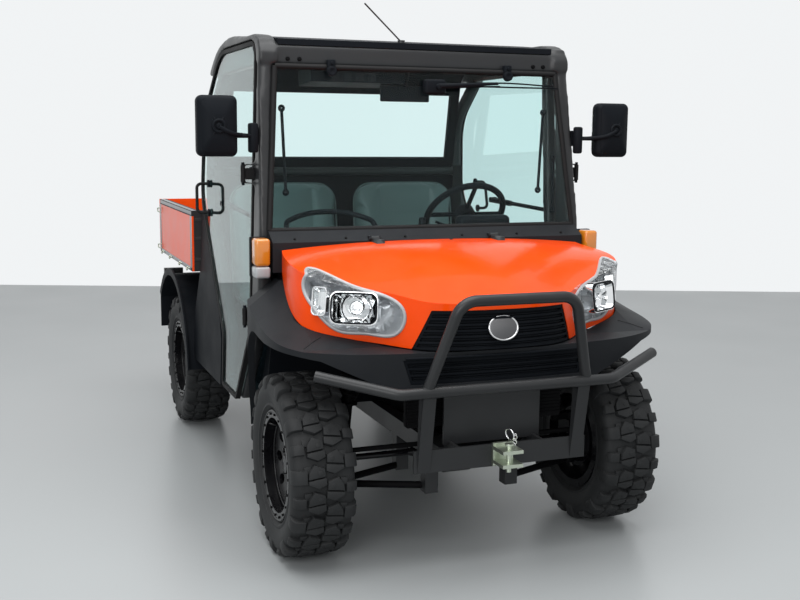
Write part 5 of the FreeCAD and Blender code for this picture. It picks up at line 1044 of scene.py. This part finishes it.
class UTV_OT_grilles(bpy.types.Operator):
    """Adds the plain oval boss with its bright ring, the grilles' fine bars, their ledge and, behind, a near-black
    finned radiator that is also painted shade behind the lower grille
    """

    bl_idname = "utv.grilles"
    bl_label = "Grilles"

    def execute(self, context):
        boss = revolved("grille_boss", [(-0.012, 0.045), (0.003, 0.045), (0.006, 0.040), (0.0075, NEAR_AXIS)],
                        (0, 0, 0), (0, -1, 0), 48)
        band = ring("grille_ring", (0, -0.003, 0), (0, 1, 0), 0.0475, 0.0036, 64, 10)
        middle, ahead = Vector((0.0, -1.409, 0.862)), Vector((0, -1, 0.25))
        oval = Matrix.Diagonal((1.12, 1.0, 0.88, 1.0))
        boss.data.transform(oval)
        band.data.transform(oval)
        place(aimed(boss, middle, ahead), "hood", "engine_metal")
        place(aimed(band, middle, ahead), "hood", "bright_rod")
        place(self.fine_bars("grille_upper", 0.800, 0.918, 0.30), "hood", "black_plastic")
        place(self.fine_bars("grille_lower", 0.684, 0.756, 0.34), "chassis", "black_plastic")
        # A near-black radiator with fins: partly the radiator, partly painted shade that fills the view behind the
        # lower grille.
        core = block("radiator", (-0.30, -1.285, 0.50), (0.30, -1.245, 0.775), 0.006)
        levels = [0.515 + 0.0125 * step for step in range(20)]
        fins = [block("fin", (-0.30, -1.2885, z), (0.30, -1.284, z + 0.004)) for z in levels]
        place(join("radiator", core, *fins), "chassis", "suspension_steel")
        line = [(-0.342, -1.376, 0.768), (-0.2, -1.392, 0.768), (0.0, -1.398, 0.768), (0.2, -1.392, 0.768),
                (0.342, -1.376, 0.768)]
        place(pipe("grille_ledge", line, 0.0045), "chassis", "black_plastic")
        return {"FINISHED"}

    def fine_bars(self, node, low, high, half):
        """Thin bars across the openings between a grille's slats, just behind the slats' faces."""
        ahead, back = -1.5, (0, 1, 0)
        pitch, slat_rise, border = 0.0066, 0.009, 0.012
        behind_face, least_recess = 0.002, 0.004
        bars = []
        across = [half * (step / 12 - 1) for step in range(25)]
        for number in range(int((high - low) / pitch)):
            z = low + pitch * number
            depths = [draped(node, [(x, ahead, z + rise) for x in (0.10, 0.11)], back, 0.0, 1)
                      for rise in (-slat_rise, 0.0, slat_rise)]
            if not all(depths):
                continue
            recess = depths[1][0].y - min(depth[0].y for depth in depths)
            line = draped(node, [(x, ahead, z) for x in across], back, 0.0, 1)
            line = [point - Vector((0, recess - behind_face, 0)) for point in line if abs(point.x) < half - border]
            if recess > least_recess and len(line) > 2:
                bars.append(pipe("bar", line, 0.0013, around=2))
        return join(node + "_bars", *bars)


class UTV_OT_glass_trim(bpy.types.Operator):
    """Adds the windshield's rubber edge, its clamps and wiper, the inside mirror and the console's trim"""

    bl_idname = "utv.glass_trim"
    bl_label = "Glass trim"

    def execute(self, context):
        corners = self.pane_corners()
        edges = [rod("edge", corners[number], corners[(number + 1) % 4], 0.0115, sides=16) for number in range(4)]
        place(join("windshield_rubber", *edges), "chassis", "gasket_rubber")
        clamps = []
        for x in (-0.375, 0.370):
            clamps += [
                revolved("clamp", [(0, NEAR_AXIS), (0.004, 0.013), (0.002, 0.019), (-0.012, 0.020)],
                         (x, -0.655, 1.746), (0, -1, 0), 28),
                block("clip", (x - 0.016, -0.652, 1.742), (x + 0.016, -0.628, 1.790), 0.004),
                rod("bolt", (x, -0.652, 1.776), (x, -0.659, 1.776), 0.006, sides=6, bevel=0.0008),
            ]
        arm = rod("arm", (0.055, -0.682, 1.700), (0.31, -0.686, 1.714), 0.010, 0.005, bevel=0.002)
        wire = pipe("arm", [(0.055, -0.672, 1.690), (0.16, -0.676, 1.697), (0.32, -0.679, 1.704)], 0.0032)
        blade = block("blade", (0.10, -0.680, 1.6985), (0.585, -0.668, 1.7045), 0.0015)
        spine = pipe("spine", [(0.12, -0.680, 1.709), (0.33, -0.684, 1.717), (0.56, -0.680, 1.709)], 0.0032)
        motor = block("motor", (0.002, -0.676, 1.668), (0.090, -0.634, 1.726), 0.010, 3)
        knob = rod("knob", (0.055, -0.672, 1.697), (0.055, -0.690, 1.697), 0.012, 0.010, bevel=0.002)
        place(join("windshield_hardware", arm, wire, blade, spine, motor, knob, *clamps), "chassis",
              "black_plastic", replaces=("windshield_fittings",))
        glass = block("glass", (-0.135, -0.535, 1.640), (0.075, -0.520, 1.705), 0.006, 3)
        stalk = rod("stalk", (-0.03, -0.530, 1.700), (-0.03, -0.575, 1.765), 0.007)
        place(join("inside_mirror", glass, stalk), "chassis", "black_plastic")
        grille = [block("slot", (-0.36 + 0.05 * step, -0.5865, 1.715), (-0.325 + 0.05 * step, -0.5835, 1.745), 0.002)
                  for step in range(4)]
        knobs = [rod("knob", (x, -0.41, 1.74), (x, -0.398, 1.74), 0.012, 0.010, bevel=0.002)
                 for x in (-0.32, -0.25, -0.18)]
        place(join("console_trim", *grille, *knobs), "chassis", "grey_plastic")
        return {"FINISHED"}

    def pane_corners(self):
        """The windshield's four corners in order, set a little outwards and back."""
        outwards, back, near_level = 0.007, 0.003, 0.05
        pane = [vertex.co for vertex in frame["nodes"]["windshield"].data.vertices]
        low, high = min(point.z for point in pane), max(point.z for point in pane)
        corners = []
        for level, side in ((low, 1), (high, 1), (high, -1), (low, -1)):
            near = [point for point in pane if abs(point.z - level) < near_level]
            corner = max(near, key=lambda point: point.x * side - abs(point.z - level) - point.y).copy()
            corner.x += math.copysign(outwards, corner.x)
            corner.y += back
            corners.append(corner)
        return corners


class UTV_OT_mirrors(bpy.types.Operator):
    """Adds the mirrors' faceted backs, ball sockets, glasses and pillar brackets"""

    bl_idname = "utv.mirrors"
    bl_label = "Mirrors"

    def execute(self, context):
        middle = Vector((0.829, -0.723, 1.535))
        back = moved(prism("back", rounded_box(0.126, 0.196, 0.022), (0, -0.016, 0), 0.004, taper=0.45), middle)
        socket = ring("socket", middle + Vector((0, -0.017, 0)), (0, 1, 0), 0.021, 0.006, 40, 10)
        ball = rod("ball", middle + Vector((0, -0.008, 0)), middle + Vector((0, -0.022, 0)), 0.014, 0.010,
                   bevel=0.003)
        ribs = [rod("rib", middle + Vector((x * 0.25, -0.0155, z * 0.25)), middle + Vector((x, 0.001, z)), 0.0042,
                    0.003, sides=12) for x, z in ((0.05, 0.082), (-0.05, 0.082), (0.05, -0.082), (-0.05, -0.082))]
        pillar = rod("pillar", (0.688, -0.672, 1.438), (0.688, -0.672, 1.548), 0.0195, bevel=0.008)
        bend = pipe("bend", [(0.690, -0.672, 1.500), (0.735, -0.700, 1.502), (0.79, -0.738, 1.512),
                             (0.829, -0.742, 1.532)], 0.0085)
        pair("mirror_backs", "chassis", "black_plastic", back, socket, ball, pillar, bend, *ribs)
        pane = moved(prism("pane", rounded_box(0.132, 0.204, 0.022), (0, 0.002, 0), 0.0006), (0.829, -0.6573, 1.535))
        pair("mirror_glasses", "chassis", "bright_rod", pane, material="Mirror glass")
        return {"FINISHED"}


class UTV_OT_doors(bpy.types.Operator):
    """Adds the doors' hinge leaves and pins, glass pads and gas struts, and the rods beside the pillars"""

    bl_idname = "utv.doors"
    bl_label = "Doors"

    def execute(self, context):
        parts = []
        for z in (1.358, 0.812):
            x = side_x(z)
            for y in (-0.585, -0.562):
                parts.append(rod("leaf", (x + 0.0075, y, z), (x - 0.0105, y, z), 0.024, bevel=0.003))
                parts.append(rod("bolt", (x + 0.012, y, z), (x + 0.006, y, z), 0.008, sides=6, bevel=0.001))
            parts.append(rod("pin", (0.716, -0.62, z - 0.043), (0.716, -0.62, z + 0.043), 0.006, bevel=0.001))
        for y, z in ((0.296, 1.28), (0.27, 1.15)):
            x = side_x(z)
            parts.append(rod("pad", (x + 0.004, y, z), (x - 0.0065, y, z), 0.017, bevel=0.002))
        strut = rod("strut", (0.655, -0.50, 1.19), (0.640, 0.05, 1.205), 0.009, bevel=0.001)
        sleeve = rod("sleeve", (0.6455, -0.15, 1.199), (0.640, 0.05, 1.205), 0.013, bevel=0.002)
        mount = rod("mount", (0.630, 0.045, 1.205), (0.668, 0.045, 1.205), 0.013, bevel=0.002)
        whole = join("door_trim", strut, sleeve, mount, *parts)
        for label, piece in (("left", whole), ("right", mirrored(whole, "turned"))):
            place(join("door_%s_trim" % label, piece), "door_" + label, "black_plastic")
        rods = []
        for start, end in (((0.560, -0.60, 1.605), (0.545, -0.60, 1.285)),
                           ((0.612, -0.60, 1.42), (0.617, -0.60, 1.20))):
            rods.append(rod("rod", start, end, 0.006))
            rods += [ring("ball", spot, (0, 1, 0), 0.008, 0.006, 20, 8) for spot in (start, end)]
        pair("pillar_rods", "chassis", "black_plastic", *rods)
        return {"FINISHED"}


class UTV_OT_cab(bpy.types.Operator):
    """Adds the instruments, grab handle, levers, pedals, the steering wheel's pad, stalks and belts"""

    bl_idname = "utv.cab"
    bl_label = "Cab"

    def execute(self, context):
        self.dashboard()
        self.controls()
        self.steering_trim()
        belts = [block("belt", (x - 0.022, 0.368, 0.75), (x + 0.022, 0.3715, 1.36), 0.001) for x in (-0.60, 0.60)]
        place(join("belts", *belts), "chassis", "gasket_rubber")
        return {"FINISHED"}

    def dashboard(self):
        """The instruments' pod, the glove box, the middle stack with its dials and the vents."""
        pod = block("pod", (0.225, -0.520, 1.105), (0.465, -0.455, 1.175), 0.022, 4)
        glove = block("glove", (-0.50, -0.5035, 0.93), (-0.12, -0.4965, 1.07), 0.008, 3)
        stack = block("stack", (-0.09, -0.512, 0.89), (0.13, -0.492, 1.10), 0.012, 3)
        vents = [block("vent", (x - 0.045, -0.5035, 1.03), (x + 0.045, -0.4965, 1.07), 0.006)
                 for x in (-0.55, 0.55)]
        place(join("dash_panels", pod, glove, stack, *vents), "chassis", "black_plastic")
        radio = block("radio", (-0.07, -0.494, 1.02), (0.11, -0.488, 1.075), 0.003)
        dials = [rod("dial", (x, -0.494, 0.97), (x, -0.478, 0.97), 0.018, 0.016, bevel=0.002)
                 for x in (-0.05, 0.02, 0.09)]
        rockers = [block("rocker", (x - 0.012, -0.494, 0.912), (x + 0.012, -0.486, 0.938), 0.003)
                   for x in (-0.06, -0.02, 0.02, 0.06, 0.10)]
        place(join("dash_controls", radio, *dials, *rockers), "chassis", "grey_plastic")

    def controls(self):
        """Two levers on their tower, two pedals and the passenger's grab handle."""
        levers = []
        for x, lean, tall in ((0.10, 0.02, 0.20), (0.165, -0.01, 0.17)):
            foot, head = Vector((x, -0.40, 0.80)), Vector((x + lean, -0.36, 0.92 + tall))
            levers += [rod("lever", foot, head, 0.008),
                       rod("knob", head - Vector((0, 0, 0.02)), head + Vector((0, 0, 0.04)), 0.018, 0.014,
                           bevel=0.006)]
        handle = pipe("handle", [(-0.52, -0.515, 1.13), (-0.50, -0.47, 1.165), (-0.16, -0.47, 1.165),
                                 (-0.14, -0.515, 1.13)], 0.011)
        tower = block("tower", (0.05, -0.50, 0.46), (0.21, -0.33, 0.82), 0.02, 3)
        pedals = [block("pedal", (x - w, -0.585, 0.62), (x + w, -0.570, 0.70), 0.004)
                  for x, w in ((0.30, 0.045), (0.44, 0.028))]
        stems = [rod("stem", (x, -0.578, 0.69), (x, -0.60, 0.87), 0.007) for x in (0.30, 0.44)]
        place(join("cab_controls", handle, tower, *levers, *pedals, *stems), "chassis", "black_plastic")

    def steering_trim(self):
        """The steering wheel's pad and the stalks behind it."""
        hub = Vector((0.345, -0.300, 1.165))
        rake = math.radians(42)
        normal = Vector((0, math.cos(rake), math.sin(rake)))
        pad = revolved("pad", [(-0.02, 0.048), (0.018, 0.044), (0.026, 0.034), (0.028, NEAR_AXIS)], hub, normal, 36)
        place(pad, "steering", "black_plastic")
        stalks = [pipe("stalk", [hub - normal * 0.09 + Vector((side * 0.03, 0, 0)),
                                 hub - normal * 0.07 + Vector((side * 0.10, 0, 0.0)),
                                 hub - normal * 0.055 + Vector((side * 0.155, 0, 0.01))], 0.006) for side in (-1, 1)]
        place(join("stalks", *stalks), "chassis", "black_plastic")


class UTV_OT_bed(bpy.types.Operator):
    """Adds the bed's rails, latches, rope hooks, floor ribs and the tailgate's handle"""

    bl_idname = "utv.bed"
    bl_label = "Bed"

    def execute(self, context):
        top = block("top", (0.690, 0.502, 1.1175), (0.7152, 1.466, 1.1445), 0.006, 3)
        posts = [block("post", (0.703, y, 0.853), (0.7185, y + 0.03, 1.118), 0.003) for y in (0.501, 1.436)]
        foot = block("foot", (0.703, 0.501, 0.853), (0.7185, 1.466, 0.873), 0.003)
        pair("bed_borders", "bed", "engine_metal", top, foot, *posts, material="Bed rail")
        hooks = [pipe("hook", [(0.716, y - 0.022, 0.867), (0.726, y - 0.018, 0.860), (0.728, y, 0.852),
                               (0.726, y + 0.018, 0.860), (0.716, y + 0.022, 0.867)], 0.0032)
                 for y in (0.58, 0.80, 1.10, 1.36)]
        hooks += [pipe("latch", [(0.717, 1.436, z + 0.012), (0.727, 1.445, z + 0.010), (0.729, 1.475, z),
                                 (0.727, 1.445, z - 0.010), (0.717, 1.436, z - 0.012)], 0.0032)
                  for z in (1.085, 0.885)]
        pair("bed_hooks", "bed", "zinc_steel", *hooks)
        ribs = [block("rib", (x - 0.022, 0.53, 0.8755), (x + 0.022, 1.462, 0.8815), 0.0025)
                for x in [-0.60 + 0.12 * step for step in range(11)]]
        bars = [block("bar", (-0.70, 0.498, z), (0.70, 0.5015, z + 0.018), 0.002) for z in (0.90, 1.0, 1.09)]
        place(join("bed_ribs", *ribs, *bars), "bed", "bed_black")
        panel = block("panel", (-0.66, 1.4985, 0.90), (0.66, 1.5035, 1.10), 0.003)
        ridges = [block("ridge", (-0.62, 1.502, z), (0.62, 1.508, z + 0.016), 0.003) for z in (0.945, 1.04)]
        place(join("tailgate_panel", panel, *ridges), "tailgate", "orange_paint")
        handle = pipe("handle", [(-0.06, 1.502, 1.075), (-0.055, 1.522, 1.078), (0.055, 1.522, 1.078),
                                 (0.06, 1.502, 1.075)], 0.006)
        place(handle, "tailgate", "black_plastic")
        return {"FINISHED"}


class UTV_OT_hitch(bpy.types.Operator):
    """Adds the clevis pin's ring and chain"""

    bl_idname = "utv.hitch"
    bl_label = "Hitch"

    def execute(self, context):
        loop = ring("loop", (0.0, -1.478, 0.506), (1, 0.3, 0.2), 0.020, 0.0028, 32, 8)
        links = [ring("link", (0.026 + 0.0035 * step, -1.470 + 0.008 * step, 0.500 - 0.011 * step),
                      (1, step % 2, 0.3), 0.0065, 0.0016, 16, 6) for step in range(7)]
        place(join("clevis_chain", loop, *links), "chassis", "bright_rod")
        return {"FINISHED"}


class UTV_OT_underside(bpy.types.Operator):
    """Adds the tie rod, drive shafts, brake hoses, near-black inner fender sheets that are painted shade, and the
    exhaust
    """

    bl_idname = "utv.underside"
    bl_label = "Underside"

    def execute(self, context):
        rods = [rod("tie", (-0.46, -1.11, 0.39), (0.46, -1.11, 0.39), 0.009),
                rod("shaft", (0.0, -0.93, 0.36), (0.0, 0.56, 0.42), 0.022),
                rod("shaft_rear", (0.0, 0.62, 0.36), (0.0, 0.90, 0.34), 0.022)]
        place(join("linkage", *rods), "chassis", "suspension_steel")
        hose = pipe("hose", [(0.20, -0.98, 0.60), (0.30, -0.96, 0.62), (0.40, -0.94, 0.50), (0.455, -0.95, 0.42)],
                    0.006)
        # A near-black inner fender sheet inboard of each front wheel, put there as painted shade that closes the view
        # through the wheel arch.
        wall = block("wall", (0.398, -1.28, 0.675), (0.404, -0.73, 0.79), 0.001)
        pair("fender_liners", "chassis", "gasket_rubber", wall, hose)
        can = rod("can", (-0.26, 0.62, 0.60), (-0.26, 1.30, 0.60), 0.07, bevel=0.012, sides=32)
        spout = pipe("spout", [(-0.26, 1.30, 0.60), (-0.26, 1.38, 0.60), (-0.27, 1.43, 0.575)], 0.022)
        place(join("exhaust", can, spout), "chassis", "engine_metal")
        return {"FINISHED"}


LAMP_TARGET = Vector((0, 0, 0.8))
FILM_WIDTH = 36  # mm


class UTV_OT_stage(bpy.types.Operator):
    """Adds the floor, the room light, the lamps and the camera"""

    bl_idname = "utv.stage"
    bl_label = "Stage"

    def execute(self, context):
        sizes = context.scene.utv_stage
        scene = context.scene
        scene.view_settings.view_transform = "Standard"
        bpy.ops.object.select_all(action="DESELECT")
        bpy.ops.mesh.primitive_plane_add(size=2 * sizes.floor_half, rotation=(0, 0, -sizes.camera_yaw))
        floor = context.object
        floor.name = "floor"
        settle(floor)
        floor.data.materials.append(floor_material(sizes))
        self.light_room(scene, sizes)
        self.hang_lamps(sizes)
        self.place_camera(scene, sizes)
        return {"FINISHED"}

    def light_room(self, scene, sizes):
        """An even room light that shows as a pale wall."""
        world = bpy.data.worlds.new("Room")
        scene.world = world
        world.use_nodes = True
        tree = world.node_tree
        room = tree.nodes["Background"]
        room.inputs["Color"].default_value = sizes.wall_colour
        room.inputs["Strength"].default_value = sizes.sky_strength
        wall = add_node(tree, "ShaderNodeBackground", {"Color": sizes.wall_colour, "Strength": 1.0})
        path = add_node(tree, "ShaderNodeLightPath")
        seen = maths(tree, "MAXIMUM", path.outputs["Is Camera Ray"], path.outputs["Is Glossy Ray"])
        seen = maths(tree, "MAXIMUM", seen, path.outputs["Is Transmission Ray"])
        pick_shader(tree, seen, room, wall, tree.nodes["World Output"])

    def hang_lamps(self, sizes):
        """A wide soft lamp overhead and one near the camera."""
        for name, spot, side, power in (
            ("ceiling_lamp", (-0.6, -1.2, 4.2), 4.0, sizes.key_power),
            ("front_lamp", (-3.2, -5.2, 2.6), 2.4, sizes.fill_power),
        ):
            bpy.ops.object.light_add(type="AREA", location=spot)
            lamp = bpy.context.object
            lamp.name = name
            lamp.data.shape = "SQUARE"
            lamp.data.size = side
            lamp.data.energy = power
            aim = LAMP_TARGET - Vector(spot)
            lamp.rotation_euler = aim.to_track_quat("-Z", "Y").to_euler()

    def place_camera(self, scene, sizes):
        """The photograph's viewpoint."""
        yaw, pitch = sizes.camera_yaw, sizes.camera_pitch
        ahead = Vector((math.sin(yaw) * math.cos(pitch), math.cos(yaw) * math.cos(pitch), -math.sin(pitch)))
        bpy.ops.object.camera_add(location=sizes.camera_place)
        camera = bpy.context.object
        camera.name = "camera"
        camera.data.lens = sizes.camera_lens
        camera.data.sensor_width = FILM_WIDTH
        turn = ahead.to_track_quat("-Z", "Y").to_matrix() @ Matrix.Rotation(sizes.camera_roll, 3, "Z")
        camera.rotation_euler = turn.to_euler()
        scene.camera = camera


CLASSES = (
    UTV_PG_colours,
    UTV_PG_stage,
    UTV_OT_finishes,
    UTV_OT_tyres,
    UTV_OT_rim_hardware,
    UTV_OT_seats,
    UTV_OT_body,
    UTV_OT_headlamps,
    UTV_OT_small_lamps,
    UTV_OT_grilles,
    UTV_OT_glass_trim,
    UTV_OT_mirrors,
    UTV_OT_doors,
    UTV_OT_cab,
    UTV_OT_bed,
    UTV_OT_hitch,
    UTV_OT_underside,
    UTV_OT_stage,
)
STEPS = (
    "finishes", "tyres", "rim_hardware", "seats", "body", "headlamps", "small_lamps", "grilles", "glass_trim",
    "mirrors", "doors", "cab", "bed", "hitch", "underside", "stage",
)


class UTV_PT_panel(bpy.types.Panel):
    """Lists the steps that dress the vehicle"""

    bl_idname = "UTV_PT_panel"
    bl_label = "Utility Vehicle"
    bl_space_type = "VIEW_3D"
    bl_region_type = "UI"
    bl_category = "Utility Vehicle"

    def draw(self, context):
        for step in STEPS:
            self.layout.operator("utv." + step)
        for group in (context.scene.utv_colours, context.scene.utv_stage):
            box = self.layout.box()
            for name in group.__annotations__:
                box.prop(group, name)


def register():
    """Adds the classes and the groups of sizes and colours."""
    for item in CLASSES + (UTV_PT_panel,):
        bpy.utils.register_class(item)
    bpy.types.Scene.utv_colours = bpy.props.PointerProperty(type=UTV_PG_colours)
    bpy.types.Scene.utv_stage = bpy.props.PointerProperty(type=UTV_PG_stage)


def unregister():
    """Removes what register added."""
    del bpy.types.Scene.utv_stage
    del bpy.types.Scene.utv_colours
    for item in reversed(CLASSES + (UTV_PT_panel,)):
        bpy.utils.unregister_class(item)


def main():
    """Dresses the vehicle."""
    register()
    for step in STEPS:
        getattr(bpy.ops.utv, step)()


if __name__ == "__main__":
    main()
